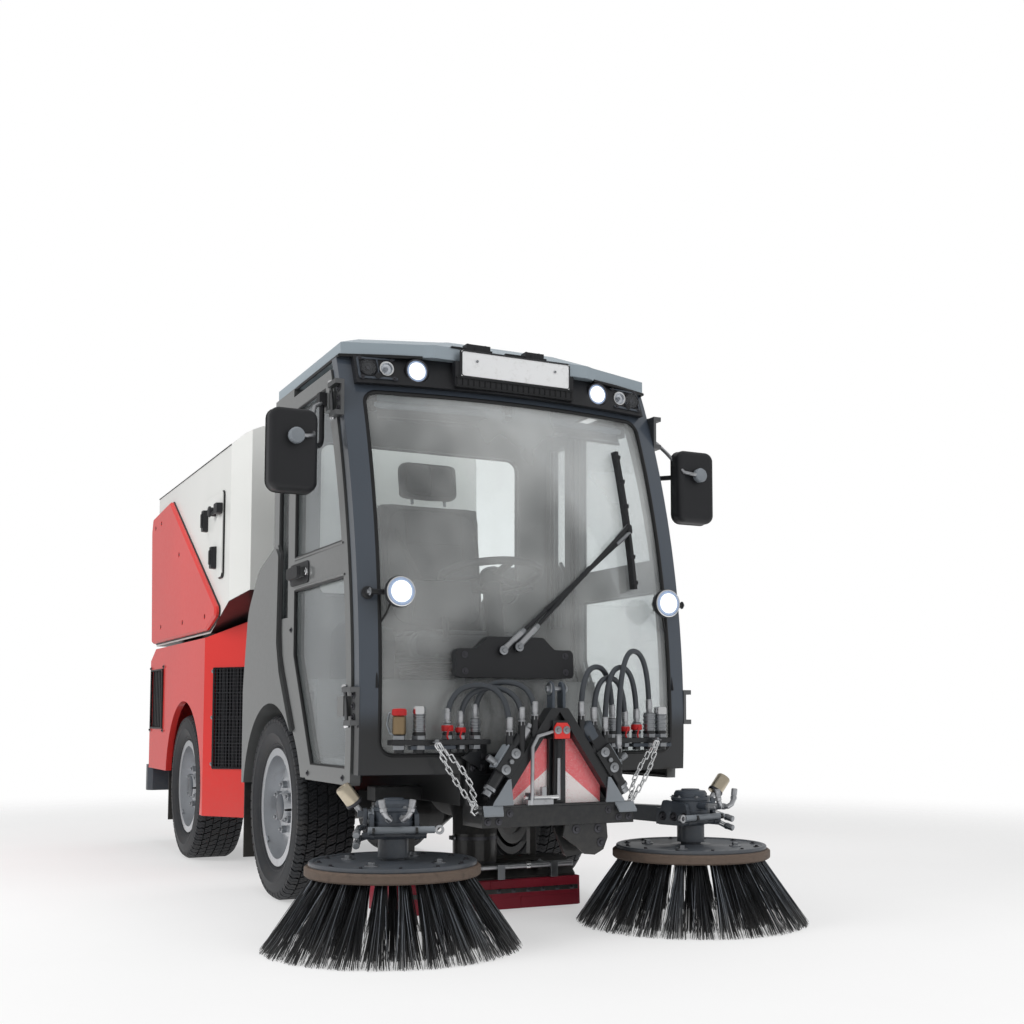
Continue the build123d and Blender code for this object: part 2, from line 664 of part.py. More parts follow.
COLUMN_FOOT = (800, CAB_FLOOR + PANEL)
WHEEL_CENTRE = (672, 1190)
STEERING_RADIUS = 178


def steering():
    """Floor-standing column and the three-spoke steering wheel."""
    (a0, z0), (a1, z1) = COLUMN_FOOT, WHEEL_CENTRE
    lean = math.degrees(math.atan2(a1 - a0, z1 - z0))
    length = math.hypot(a1 - a0, z1 - z0)
    here = Pos(fx(a1), 0, z1) * Rot(0, lean, 0)
    wheel = Torus(STEERING_RADIUS, 14)
    hub = Pos(0, 0, -14) * Cylinder(42, 40)
    spokes = [Rot(0, 0, angle) * Pos(STEERING_RADIUS / 2, 0, -4) * Box(STEERING_RADIUS, 26, 12)
        for angle in (0, 120, 240)]
    tube = Pos(0, 0, -length / 2) * Cylinder(34, length)
    column = here * (wheel + hub + spokes + tube)
    foot = block((fx(a0 - 90), fx(a0 + 90)), (-130, 130), (z0, z0 + 60))
    shroud = block((fx(a0 - 40), fx(a0 + 110)), (-190, 190), (z0 + 60, z0 + 330))
    shroud = chamfer(shroud.edges().filter_by(Axis.Z), 30)
    below = block((fx(0), fx(1200)), (-400, 400), (0, z0))
    return column + foot + shroud - below


WIPER_COVER = (-305, 110, 812, 945)
WIPER_PIVOTS = ((-150, 900), (-95, 912))
WIPER_BLADE_OUT = 388
WIPER_BLADE = (1127, WINDSCREEN_HIGH - 139)
WIPER_BLADE_HALF = 6


def wiper():
    """Wiper motor cover, twin parallel arms and an upright blade, laid over the curved screen."""
    y0, y1, z0, z1 = WIPER_COVER
    step = 40
    shape = Polygon(
        (y0, z0), (y1, z0), (y1, z1 - step), (y1 - 70, z1 - step), (y1 - 110, z1), (y0 + 110, z1),
        (y0 + 70, z1 - step), (y0, z1 - step), align=None,
    )
    shape = fillet(shape.vertices(), 16)
    cover = front_plate(shape, fx(500), fx(1300)) & front_skin(-26, 8 - 0.3, 700, 1100, 500)
    tip_y = WIPER_BLADE_OUT
    tip_z = WIPER_BLADE[0] + (WIPER_BLADE[1] - WIPER_BLADE[0]) * 0.4
    for y, z in WIPER_PIVOTS:
        start = (front_face_x(y, z) + 34, y, z)
        end = (front_face_x(tip_y, tip_z) + 20, tip_y, tip_z + (z - WIPER_PIVOTS[0][1]) * 2)
        arm = sweep(Plane(start, z_dir=tuple(e - s for s, e in zip(start, end))) * Circle(7),
            Line(start, end))
        cover += arm + rod_x(y, z, 15, start[0] - 20, start[0] + 9)
    blade = block((fx(500), fx(1300)), (tip_y - WIPER_BLADE_HALF, tip_y + WIPER_BLADE_HALF), WIPER_BLADE)
    blade &= front_skin(-26, 8 - 0.3, WIPER_BLADE[0], WIPER_BLADE[1], 500)
    return cover + blade


# Front carrier and its hydraulics

CARRIER_FACE = 1200
CARRIER_BEAM = 270                        # half length of the base beam
CARRIER_FOOT, CARRIER_TOP = 238, 30       # outer line of the legs at the beam and at the apex
CARRIER_LOW, CARRIER_HIGH, CARRIER_APEX = 345, 412, 715
CARRIER_LEG = 38
CARRIER_DEPTH = 52
UPRIGHT_HALF = 30
LEG_RISE = (CARRIER_APEX - CARRIER_HIGH) / (CARRIER_FOOT - CARRIER_TOP)
APEX_BOLT_RADIUS, APEX_SPACING, APEX_BOLT_Z = 6, 30, CARRIER_APEX - 70
APEX_BLOCK = (CARRIER_APEX - 98, CARRIER_APEX - 40)
LEG_INNER = CARRIER_FOOT - CARRIER_LEG
LEG_INNER_TOP = CARRIER_HIGH + LEG_INNER * LEG_RISE


def front_carrier():
    """Implement triangle on the rail ends: base beam, two legs, apex block and a middle upright."""
    beam = block(
        (fx(RAIL_FRONT_AHEAD), fx(CARRIER_FACE)), (-CARRIER_BEAM, CARRIER_BEAM), (CARRIER_LOW, CARRIER_HIGH))
    heads = block(
        (fx(RAIL_FRONT_AHEAD), fx(RAIL_FRONT_AHEAD + 40)), (-CARRIER_BEAM, CARRIER_BEAM),
        (CARRIER_LOW, RAIL_HIGH))
    legs = Polygon(
        (-CARRIER_FOOT, CARRIER_HIGH), (-LEG_INNER, CARRIER_HIGH), (0, LEG_INNER_TOP),
        (LEG_INNER, CARRIER_HIGH), (CARRIER_FOOT, CARRIER_HIGH), (CARRIER_TOP, CARRIER_APEX),
        (-CARRIER_TOP, CARRIER_APEX), align=None,
    )
    frame = beam + heads + front_plate(legs, fx(CARRIER_FACE - CARRIER_DEPTH), fx(CARRIER_FACE))
    frame += block(
        (fx(CARRIER_FACE - 60), fx(CARRIER_FACE - 20)), (-UPRIGHT_HALF, UPRIGHT_HALF),
        (CARRIER_HIGH, CARRIER_APEX - 12))
    apex = block(
        (fx(CARRIER_FACE - CARRIER_DEPTH), fx(CARRIER_FACE + 10)), (-UPRIGHT_HALF, UPRIGHT_HALF), APEX_BLOCK)
    bolts = [
        rod_x(y, APEX_BOLT_Z, APEX_BOLT_RADIUS, fx(1000), fx(CARRIER_FACE + 40))
        for y in (-APEX_SPACING / 2, APEX_SPACING / 2)
    ]
    lobe = Polygon((10, CARRIER_LOW), (176, CARRIER_LOW), (166, 250), (60, 235), align=None)
    skid = front_plate(fillet(lobe.vertices(), 18), fx(CARRIER_FACE - 90), fx(CARRIER_FACE - 74))
    return frame + apex + skid - bolts


PANEL_OUT = 164


def chevron_panels():
    """Warning panels that fill the triangle on each side of the middle upright."""
    high = APEX_BLOCK[0] - 0.3
    face = Polygon(
        (UPRIGHT_HALF, CARRIER_HIGH), (PANEL_OUT, CARRIER_HIGH), (PANEL_OUT, high), (UPRIGHT_HALF, high),
        align=None)
    between = Polygon((LEG_INNER, CARRIER_HIGH), (0, LEG_INNER_TOP), (0, CARRIER_HIGH), align=None)
    return both_sides(front_plate(face & between, fx(CARRIER_FACE - 40), fx(CARRIER_FACE - 34)))


RACK_Z = 600
RACK_DEPTH = 16
# Offset, radius and height of each coupling
LEFT_COUPLERS = ((250, 15, 66), (300, 11, 44), (345, 13, 52), (395, 18, 84), (440, 18, 84))
RIGHT_COUPLERS = ((250, 15, 66), (300, 11, 44), (345, 13, 52), (440, 18, 84), (505, 15, 78))


def coupling_rack(couplers):
    """Bracket on the carrier's head with its row of couplings, as on the left."""
    back, front = fx(RAIL_FRONT_AHEAD + 26), fx(RAIL_FRONT_AHEAD + 70)
    rack = block((back, front), (205, couplers[-1][0] + 30), (RACK_Z, RACK_Z + RACK_DEPTH))
    rack += block((back, back + 14), (205, CARRIER_BEAM), (RAIL_HIGH, RACK_Z))
    for y, radius, height in couplers:
        rack += rod_z((back + front) / 2, y, radius, RACK_Z - 24, RACK_Z + RACK_DEPTH + height)
        rack += rod_z((back + front) / 2, y, radius + 3, RACK_Z + 30, RACK_Z + 38)
    return rack


VALVE = (CARRIER_FACE - 20, 177, 548)


def valve_block(hose_rows):
    """Valve block bolted to the left leg's outer side, with a nozzle under each hose."""
    valve = Box(58, 92, 58)
    valve += Pos(0, 70, 0) * Rot(90, 0, 0) * Cylinder(20, 60)
    valve += Pos(0, -66, 10) * Rot(90, 0, 0) * Cylinder(14, 50)
    valve = Pos(fx(VALVE[0]), VALVE[1], VALVE[2]) * Rot(-math.degrees(math.atan(LEG_RISE)), 0, 0) * valve
    for _, (ahead, y, z), _ in hose_rows:
        valve += rod_z(fx(ahead), y, HOSE_RADIUS + 3, CARRIER_HIGH + 20, z)
    leg_side = Polygon(
        (CARRIER_FOOT, CARRIER_HIGH), (CARRIER_TOP, CARRIER_APEX), (-400, CARRIER_APEX),
        (-400, CARRIER_HIGH), align=None)
    return valve - front_plate(leg_side, fx(1000), fx(1400))


def hydraulic_rack():
    """Coupling racks at each side of the triangle, and the valve blocks bolted to its legs."""
    left = [coupling_rack(LEFT_COUPLERS), valve_block(LEFT_HOSES)]
    right = [coupling_rack(RIGHT_COUPLERS), valve_block(RIGHT_HOSES)]
    return [*left, *[other_side(piece) for piece in right]]


HOSE_RADIUS = 9
# Upright loops: first end (ahead, out, up), second end (ahead, out, up), height of the loop
LEFT_HOSES = (
    ((1098, 300, 660), (1188, 130, 672), 815),
    ((1098, 345, 668), (1188, 172, 640), 850),
    ((1098, 250, 682), (1188, 84, 690), 850),
    ((1098, 395, 700), (1188, 222, 584), 905),
)
RIGHT_HOSES = (
    ((1098, 300, 660), (1188, 130, 672), 778),
    ((1098, 345, 668), (1188, 172, 640), 786),
    ((1098, 250, 682), (1188, 84, 690), 796),
)


def hose(start, end, top):
    p, q = (fx(start[0]), start[1], start[2]), (fx(end[0]), end[1], end[2])
    span = math.hypot(q[0] - p[0], q[1] - p[1])
    path = FilletPolyline(p, (p[0], p[1], top), (q[0], q[1], top), q, radius=span * 0.49)
    return sweep(Plane(p, z_dir=(0, 0, 1)) * Circle(HOSE_RADIUS), path)


def hoses():
    return [hose(*row) for row in LEFT_HOSES] + [other_side(hose(*row)) for row in RIGHT_HOSES]


# Suction mouth and duct

MOUTH_AHEAD = (430, 660)
MOUTH_HALF = 345
DUCT_RADIUS = 80
DUCT_WALL = 6
DUCT_BEND = 90
DUCT_LOW = 270
DUCT_TOP = 1168


def suction_mouth():
    """Suction mouth between the front wheels: hooded box, sloping flaps, towing links and hose neck."""
    a0, a1 = MOUTH_AHEAD
    hood = outline([(a0, 60), (a1, 60), (a1, 120), (a1 - 70, 175), (a0 + 40, 175), (a0, 120)])
    hollow = outline([(a0 + 14, 0), (a1 - 14, 0), (a1 - 14, 112), (a1 - 76, 161), (a0 + 46, 161),
        (a0 + 14, 112)])
    box = side_plate(hood, -MOUTH_HALF, MOUTH_HALF) - side_plate(hollow, 14 - MOUTH_HALF, MOUTH_HALF - 14)
    box += rod_z(fx(a0 + 110), 0, DUCT_RADIUS, 150, DUCT_LOW)
    box -= rod_z(fx(a0 + 110), 0, DUCT_RADIUS - DUCT_WALL, 100, 400)
    for y in (-240, 240):
        box += block((fx(a0 + 70), fx(a0 + 100)), (y - 12, y + 12), (160, RAIL_LOW))
        box += rod_y(fx(a0 + 20), 58, 46, y - 26, y + 26)
    bar = rod_y(fx(a1 + 4), 158, 11, 40 - MOUTH_HALF, MOUTH_HALF - 40)
    for y in (-200, 200):
        box += block((fx(a1 - 70), fx(a1 + 6)), (y - 9, y + 9), (140, 168))
    return box + bar


def mouth_flap():
    """Rubber flap around the mouth's front and ends."""
    a0, a1 = MOUTH_AHEAD
    outer = block((fx(a0), fx(a1 + 12)), (-MOUTH_HALF - 12, MOUTH_HALF + 12), (10, 112))
    return outer - block((fx(a0 - 10), fx(a1)), (-MOUTH_HALF, MOUTH_HALF), (0, 200))


def suction_duct():
    """Suction pipe from the mouth's neck, over the axle and up the articulation axis to the hopper inlet."""
    a = MOUTH_AHEAD[0] + 110
    start = (fx(a), 0, DUCT_LOW)
    path = FilletPolyline(
        start, (fx(a), 0, 396), (fx(300), 0, 396), (fx(150), 0, 640), (fx(PIVOT_AHEAD), 0, 640),
        (fx(PIVOT_AHEAD), 0, DUCT_TOP), radius=DUCT_BEND)
    pipe = sweep(Plane(start, z_dir=(0, 0, 1)) * Circle(DUCT_RADIUS), path)
    bore = sweep(Plane(start, z_dir=(0, 0, 1)) * Circle(DUCT_RADIUS - DUCT_WALL), path)
    return pipe - bore


# Rear unit

LOUVRE = (-2425, -2105, 622, 930)
GRILLE_Z = (452, 905)
NOSE_GRILLE = (52, 232)      # along the sloping corner from the side panel
SLAT = 9


def nose_run():
    """Start, length and direction of the sloping corner between side and nose, on the left."""
    x0, y0 = fx(BODY_CORNER_AHEAD), BODY_OUT
    x1, y1 = fx(BODY_NOSE_AHEAD), BODY_NOSE_OUT
    return x0, y0, math.hypot(x1 - x0, y1 - y0), math.degrees(math.atan2(y1 - y0, x1 - x0))


def on_nose(shape):
    """Moves a shape drawn with X along the sloping corner and Y pointing outward."""
    x0, y0, _, angle = nose_run()
    return Pos(x0, y0, 0) * Rot(0, 0, angle) * shape


def side_panel():
    """Left body side with its wheel arch and louvre opening, turned inward to the nose at the front."""
    arch = Pos(fx(REAR_AXLE_AHEAD), AXLE_Z) * Circle(TYRE_DIAMETER / 2 + ARCH_GAP)
    face = outline([
        (BODY_REAR_AHEAD, BODY_HIGH - 60), (BODY_REAR_AHEAD, BODY_LOW), (REAR_AXLE_AHEAD, BODY_LOW),
        (REAR_AXLE_AHEAD, BODY_FOOT), (BODY_CORNER_AHEAD, BODY_FOOT), (BODY_CORNER_AHEAD, BODY_HIGH),
        (BODY_REAR_AHEAD + 140, BODY_HIGH),
    ]) - arch
    panel = side_plate(face, BODY_OUT - BODY_SKIN, BODY_OUT)
    a0, a1, z0, z1 = LOUVRE
    panel -= side_plate(outline([(a0, z0), (a1 - 60, z0), (a1, z0 + 60), (a1, z1 - 60), (a1 - 60, z1),
        (a0, z1)]), 0, 700)
    length = nose_run()[2]
    corner = on_nose(block((-6, length), (-BODY_SKIN, 0), (BODY_FOOT, HOPPER_LOW + HOPPER_RISE)))
    opening = on_nose(block(NOSE_GRILLE, (-60, 20), GRILLE_Z))
    above = side_plate(outline([
        (BODY_CORNER_AHEAD - 80, BODY_HIGH), (BODY_CORNER_AHEAD, BODY_HIGH),
        (HOPPER_FRONT_AHEAD, BODY_HIGH + HOPPER_RISE - 12),
        (HOPPER_FRONT_AHEAD, HOPPER_HIGH), (BODY_CORNER_AHEAD - 80, HOPPER_HIGH)]), 0, 900)
    return panel + (corner - above) - opening


def grilles():
    """Slatted louvres of the body side and upright bars in the sloping corner, framed."""
    a0, a1, z0, z1 = LOUVRE
    back = BODY_OUT - BODY_SKIN
    louvre = block((fx(a0), fx(a1 - 61)), (back, back + 6), (z0, z1))
    count = 6
    pitch = (a1 - 61 - a0) / count
    for i in range(count):
        x = fx(a0 + (i + 0.5) * pitch)
        louvre += block((x - SLAT, x + SLAT), (back, BODY_OUT - 4), (z0, z1))
    (u0, u1), (g0, g1) = NOSE_GRILLE, GRILLE_Z
    mesh = block((u0, u1), (-BODY_SKIN, -BODY_SKIN + 6), (g0, g1))
    bars = 9
    for i in range(bars):
        u = u0 + (i + 0.5) * (u1 - u0) / bars
        mesh += block((u - 5, u + 5), (-BODY_SKIN, -6), (g0, g1))
    for i in range(1, 4):
        z = g0 + i * (g1 - g0) / 4
        mesh += block((u0, u1), (-BODY_SKIN, -10), (z - 5, z + 5))
    return [*both_sides(louvre), *both_sides(on_nose(mesh))]


def rear_deck():
    """Deck over the engine, with hopper rests and hinge ears, and the front bulkhead."""
    side = BODY_OUT - BODY_SKIN
    run = nose_run()
    left = [
        (fx(BODY_REAR_AHEAD + BODY_SKIN), side), (fx(BODY_CORNER_AHEAD - 12), side),
        (fx(BODY_NOSE_AHEAD - 20), BODY_NOSE_OUT - 24),
    ]
    plan = Polygon(*left, *[(x, -y) for x, y in reversed(left)], align=None)
    deck = plan_plate(plan, BODY_HIGH - DECK - 20, BODY_HIGH - 20)
    inner = on_nose(block((-400, run[2] + 400), (-BODY_SKIN, 400), (0, 2000)))
    deck -= inner
    deck -= other_side(inner)
    deck += block((fx(BODY_NOSE_AHEAD - 20), fx(BODY_NOSE_AHEAD)),
        (-BODY_NOSE_OUT + 60, BODY_NOSE_OUT - 60), (RAIL_HIGH, BODY_HIGH - 20))
    for y in (-300, 300):
        deck += block((fx(-1330), fx(-1250)), (y - 50, y + 50), (BODY_HIGH - 20, HOPPER_LOW - 0.3))
    slot = block((fx(TIP_AHEAD - 36), fx(TIP_AHEAD + 70)), (362, 438), (900, 1100))
    deck -= slot
    deck -= other_side(slot)
    ear = Pos(fx(TIP_AHEAD), TIP_Z) * Circle(24) + outline([
        (TIP_AHEAD - 24, TIP_Z), (TIP_AHEAD + 24, TIP_Z), (TIP_AHEAD + 50, BODY_HIGH - 30),
        (TIP_AHEAD - 24, BODY_HIGH - 30)])
    for y in (346, 438):
        plate = side_plate(ear, y, y + 16)
        deck += plate
        deck += other_side(plate)
    pin = rod_y(fx(TIP_AHEAD), TIP_Z, TIP_PIN_RADIUS, 346, 454)
    return deck + pin + other_side(pin)


LAMP_ROWS = ((880, 40), (780, 40), (690, 34))     # height, radius


def tail_panel():
    """Rear wall of the engine unit with lamp recesses."""
    half = BODY_OUT - BODY_SKIN
    wall = block((fx(BODY_REAR_AHEAD), fx(BODY_REAR_AHEAD + BODY_SKIN)), (-half, half),
        (BODY_LOW, BODY_HIGH - 60))
    for z, radius in LAMP_ROWS:
        for y in (-500, 500):
            wall -= rod_x(y, z, radius + RUNNING_GAP, fx(BODY_REAR_AHEAD - 10), fx(BODY_REAR_AHEAD + 14))
    for i in range(6):
        z = 560 + i * 60
        wall -= block((fx(BODY_REAR_AHEAD - 1), fx(BODY_REAR_AHEAD + 12)), (-320, 320), (z, z + 30))
    return wall


def tail_lamps():
    return [
        rod_x(y, z, radius, fx(BODY_REAR_AHEAD - 14), fx(BODY_REAR_AHEAD + 14 - RUNNING_GAP))
        for z, radius in LAMP_ROWS for y in (-500, 500)
    ]


TOW_RADIUS, TOW_THICKNESS = 16, 25


def rear_bumper():
    """Bumper beam on two brackets under the rails, with a drop-pin towing tongue."""
    beam = block((fx(BUMPER_AHEAD), fx(BODY_REAR_AHEAD)), (-BODY_OUT, BODY_OUT),
        (BODY_LOW - 125, BODY_LOW + 15))
    beam = chamfer(beam.edges().filter_by(Axis.Z), 24)
    beam -= block((fx(BUMPER_AHEAD - 1), fx(BODY_REAR_AHEAD - 20)), (-90, 90),
        (BODY_LOW - 126, BODY_LOW + 16))
    beam += block((fx(BUMPER_AHEAD + 6), fx(BODY_REAR_AHEAD - 10)), (-45, 45),
        (BODY_LOW - 70, BODY_LOW - 70 + TOW_THICKNESS))
    for y in (-RAIL_OUT, RAIL_OUT):
        beam += block((fx(BODY_REAR_AHEAD - 10), fx(-2290)), (y - 24, y + 24), (RAIL_LOW - 60, RAIL_LOW))
    return beam - rod_z(fx(TOW_AHEAD), 0, TOW_RADIUS, 0, 600)


TOW_AHEAD = BUMPER_AHEAD + 36


def mudflap(ahead, top, bottom, side):
    return block((fx(ahead), fx(ahead + 8)), (side - 205, side), (bottom, top))


def engine():
    """Engine and pump as one plain block on its mounting flange."""
    body = block((fx(-2200), fx(-1320)), (-190, 190), (RAIL_HIGH, 930))
    body = chamfer(body.edges().filter_by(Axis.X), 40)
    return body + block((fx(-2050), fx(-1450)), (-270, 270), (RAIL_HIGH, RAIL_HIGH + 20))


# Hopper

def hopper_solid(inset):
    """Hopper body: side view, cross-section and plan cut each other, inset evenly for the inside."""
    i = inset
    side = outline([
        (HOPPER_REAR_AHEAD - (300 if i else 0), HOPPER_LOW + i), (BODY_CORNER_AHEAD, HOPPER_LOW + i),
        (HOPPER_FRONT_AHEAD - i, HOPPER_LOW + HOPPER_RISE + i),
        (HOPPER_FRONT_AHEAD - i, HOPPER_HIGH - i), (HOPPER_REAR_AHEAD - (300 if i else 0), HOPPER_HIGH - i),
    ])
    half = HOPPER_OUT - i
    body = side_plate(side, -half, half)
    section = Polygon(
        (-half, HOPPER_LOW), (half, HOPPER_LOW), (half, HOPPER_HIGH - 70 - i),
        (half - 42, HOPPER_HIGH - 30 - i),
        (half - 110, HOPPER_HIGH - i), (110 - half, HOPPER_HIGH - i), (42 - half, HOPPER_HIGH - 30 - i),
        (-half, HOPPER_HIGH - 70 - i), align=None)
    body &= front_plate(section, fx(HOPPER_REAR_AHEAD - 400), fx(HOPPER_FRONT_AHEAD))
    for sign in (-1, 1):
        notch = Polygon(
            (fx(HOPPER_FRONT_AHEAD - i - 120), sign * (half + 1)),
            (fx(HOPPER_FRONT_AHEAD + 1), sign * (half + 1)),
            (fx(HOPPER_FRONT_AHEAD + 1), sign * (half - 62)),
            (fx(HOPPER_FRONT_AHEAD - i), sign * (half - 62)), align=None)
        body -= plan_plate(notch, HOPPER_LOW - 10, HOPPER_HIGH + 10)
    return body


def hopper_shell():
    """Sheet-metal hopper, open at the back, with tipping lugs below and flap ears above."""
    shell = hopper_solid(0) - hopper_solid(HOPPER_WALL)
    lug = Pos(fx(TIP_AHEAD), TIP_Z) * Circle(26) + outline([
        (TIP_AHEAD - 26, TIP_Z), (TIP_AHEAD + 26, TIP_Z), (TIP_AHEAD + 60, HOPPER_LOW + 4),
        (TIP_AHEAD - 26, HOPPER_LOW + 4)])
    lug -= Pos(fx(TIP_AHEAD), TIP_Z) * Circle(TIP_PIN_RADIUS + RUNNING_GAP)
    lug = side_plate(lug, 370, 430)
    ear = Pos(fx(FLAP_AXIS_AHEAD), FLAP_AXIS_Z) * Circle(16) + outline([
        (FLAP_AXIS_AHEAD, FLAP_AXIS_Z - 16), (HOPPER_REAR_AHEAD + 60, FLAP_AXIS_Z - 4),
        (HOPPER_REAR_AHEAD + 60, FLAP_AXIS_Z + 16),
        (FLAP_AXIS_AHEAD, FLAP_AXIS_Z + 16)])
    ear -= Pos(fx(FLAP_AXIS_AHEAD), FLAP_AXIS_Z) * Circle(FLAP_PIN_RADIUS + RUNNING_GAP)
    for y in (300, 372):
        plate = side_plate(ear, y, y + 14)
        shell += plate + other_side(plate)
    shell -= rod_z(fx(PIVOT_AHEAD - 60), 0, DUCT_RADIUS, HOPPER_LOW - 100, HOPPER_LOW + 400)
    return shell + lug + other_side(lug)


FLAP_AXIS_AHEAD = HOPPER_REAR_AHEAD - 20


def hopper_flap():
    """Rear discharge flap hung from two pins at its top edge, with stiffening ribs."""
    half = HOPPER_OUT - 14
    x0, x1 = fx(HOPPER_REAR_AHEAD - FLAP_THICKNESS), fx(HOPPER_REAR_AHEAD - 0.3)
    flap = block((x0, x1), (-half, half), (HOPPER_LOW + 12, HOPPER_HIGH - 62))
    low, rise = HOPPER_LOW + 12, (HOPPER_HIGH - 62 - HOPPER_LOW - 12) / 3
    for i in range(3):
        flap -= block((x0 - 1, x0 + 12), (-half + 60, half - 60),
            (low + i * rise + 50, low + (i + 1) * rise - 50))
    arm = Pos(fx(FLAP_AXIS_AHEAD), FLAP_AXIS_Z) * Circle(15) + outline([
        (FLAP_AXIS_AHEAD - 13, FLAP_AXIS_Z), (FLAP_AXIS_AHEAD + 13, FLAP_AXIS_Z),
        (FLAP_AXIS_AHEAD + 13, HOPPER_HIGH - 70), (FLAP_AXIS_AHEAD - 13, HOPPER_HIGH - 70)])
    lug = side_plate(arm, 320, 366) + rod_y(fx(FLAP_AXIS_AHEAD), FLAP_AXIS_Z, FLAP_PIN_RADIUS, 301, 385)
    return flap + lug + other_side(lug)


SHIELD_LOW, SHIELD_HIGH = HOPPER_LOW + 13, HOPPER_HIGH - 148
SHIELD_OUTLINE = (
    (-2440, SHIELD_LOW), (-2500, SHIELD_HIGH - 102), (-2470, SHIELD_HIGH - 27), (-2010, SHIELD_HIGH),
    (-890, SHIELD_LOW + 68), (-1120, SHIELD_LOW),
)
SHIELD_BOLTS = (
    (-2385, SHIELD_HIGH - 92), (-2225, SHIELD_HIGH - 86), (-1745, SHIELD_HIGH - 307),
    (-2185, SHIELD_LOW + 78), (-1630, SHIELD_LOW + 67), (-1135, SHIELD_LOW + 64),
)


def shield():
    """Left side shield of the hopper: a moulded panel with rounded corners and bolt recesses."""
    face = fillet(outline(SHIELD_OUTLINE).vertices(), 28)
    panel = side_plate(face, HOPPER_OUT, HOPPER_OUT + SHIELD)
    panel = chamfer(panel.faces().sort_by(Axis.Y)[-1].edges(), 9)
    for a, z in SHIELD_BOLTS:
        panel -= rod_y(fx(a), z, 13, HOPPER_OUT + SHIELD - 10, HOPPER_OUT + SHIELD + 10)
    return panel


# Hatch, as shares of the hopper's height, clear of the shield's falling edge
HOPPER_TALL = HOPPER_HIGH - HOPPER_LOW
HATCH_HIGH = HOPPER_HIGH - 0.294 * HOPPER_TALL
HATCH_LOW = HATCH_HIGH - 0.435 * HOPPER_TALL
HATCH_OUTLINE = ((-1290, HATCH_HIGH), (-880, HATCH_HIGH), (-880, HATCH_LOW), (-960, HATCH_LOW))
HATCH_LATCHES = (
    (-1180, HATCH_HIGH - 0.113 * HOPPER_TALL), (-1000, HATCH_HIGH - 0.328 * HOPPER_TALL),
)


def hatch():
    """Left inspection hatch with two latches and a knob."""
    lid = side_plate(fillet(outline(HATCH_OUTLINE).vertices(), 22), HOPPER_OUT, HOPPER_OUT + 12)
    for a, z in HATCH_LATCHES:
        lid += block((fx(a - 18), fx(a + 18)), (HOPPER_OUT + 12, HOPPER_OUT + 34), (z - 46, z + 46))
    return lid + rod_y(fx(-1010), HATCH_HIGH - 0.09 * HOPPER_TALL, 20, HOPPER_OUT + 12, HOPPER_OUT + 40)


# Brooms

def at_kingpin(shape, side):
    """Places a shape drawn with X along the left arm from the kingpin, on the left or right side."""
    placed = Pos(fx(KINGPIN_AHEAD), KINGPIN_OUT, 0) * Rot(0, 0, ARM_ANGLE) * shape
    return placed if side > 0 else other_side(placed)


def broom_knuckle():
    """Swing knuckle on the kingpin, with a clevis for the lifting arm."""
    body = rod_z(0, 0, KINGPIN_RADIUS + 22, LIFT_Z - 46, RAIL_LOW - 4)
    for y in (-ARM_WIDTH / 2 - 16, ARM_WIDTH / 2 + 2):
        cheek = Pos(LIFT_REACH, LIFT_Z) * Circle(26) + Polygon(
            (0, LIFT_Z - 26), (LIFT_REACH, LIFT_Z - 26), (LIFT_REACH, LIFT_Z + 26), (0, LIFT_Z + 26),
            align=None)
        body += side_plate(cheek, y, y + 14)
    body -= rod_z(0, 0, KINGPIN_RADIUS + RUNNING_GAP, 0, CAB_TOP)
    body -= block((KINGPIN_RADIUS + 26, 200), (-ARM_WIDTH / 2 - 2, ARM_WIDTH / 2 + 2), (0, CAB_TOP))
    return body + rod_y(LIFT_REACH, LIFT_Z, LIFT_PIN_RADIUS, -ARM_WIDTH / 2 - 20, ARM_WIDTH / 2 + 20)


def broom_arm():
    """Lifting arm with its motor bracket, drive motor and hose stubs; X runs along the arm."""
    half = ARM_HEIGHT / 2
    side = Pos(LIFT_REACH, LIFT_Z) * Circle(24) + Polygon(
        (LIFT_REACH, LIFT_Z - 24), (ARM_REACH - 100, LIFT_Z - half), (ARM_REACH + 10, LIFT_Z - half),
        (ARM_REACH + 10, LIFT_Z), (ARM_REACH - 100, LIFT_Z + half), (LIFT_REACH, LIFT_Z + 24), align=None)
    arm = side_plate(side, -ARM_WIDTH / 2, ARM_WIDTH / 2)
    arm -= rod_y(LIFT_REACH, LIFT_Z, LIFT_PIN_RADIUS + RUNNING_GAP, -100, 100)
    motor = revolve(Polygon(
        (0, BROOM_RING_Z + BROOM_RING_HEIGHT + BROOM_PLATE + 8),
        (46, BROOM_RING_Z + BROOM_RING_HEIGHT + BROOM_PLATE + 8), (46, LIFT_Z - 30),
        (MOTOR_RADIUS, LIFT_Z - 20), (MOTOR_RADIUS, MOTOR_HIGH - 30), (MOTOR_RADIUS - 6, MOTOR_HIGH - 26),
        (MOTOR_RADIUS - 6, MOTOR_HIGH - 8), (MOTOR_RADIUS - 16, MOTOR_HIGH), (0, MOTOR_HIGH), align=None),
        Axis.Y)
    motor = Pos(ARM_REACH, 0, 0) * Rot(90, 0, 0) * motor
    arm += motor
    for y in (-74, 60):
        cheek = Polygon((ARM_REACH - 90, LIFT_Z - 30), (ARM_REACH + 60, LIFT_Z - 30),
            (ARM_REACH + 40, LIFT_Z + 44),
                        (ARM_REACH - 60, LIFT_Z + 54), align=None)
        arm += side_plate(fillet(cheek.vertices(), 12), y, y + 14)
    arm += block((ARM_REACH - 90, ARM_REACH - 62), (-74, 74), (LIFT_Z - 28, LIFT_Z + 26))
    arm += rod_y(ARM_REACH + 44, LIFT_Z - 18, 10, -96, 96)
    for y in (-22, 22):
        arm += rod_x(y, LIFT_Z + 36, 11, ARM_REACH + 40, ARM_REACH + 92)
    return arm


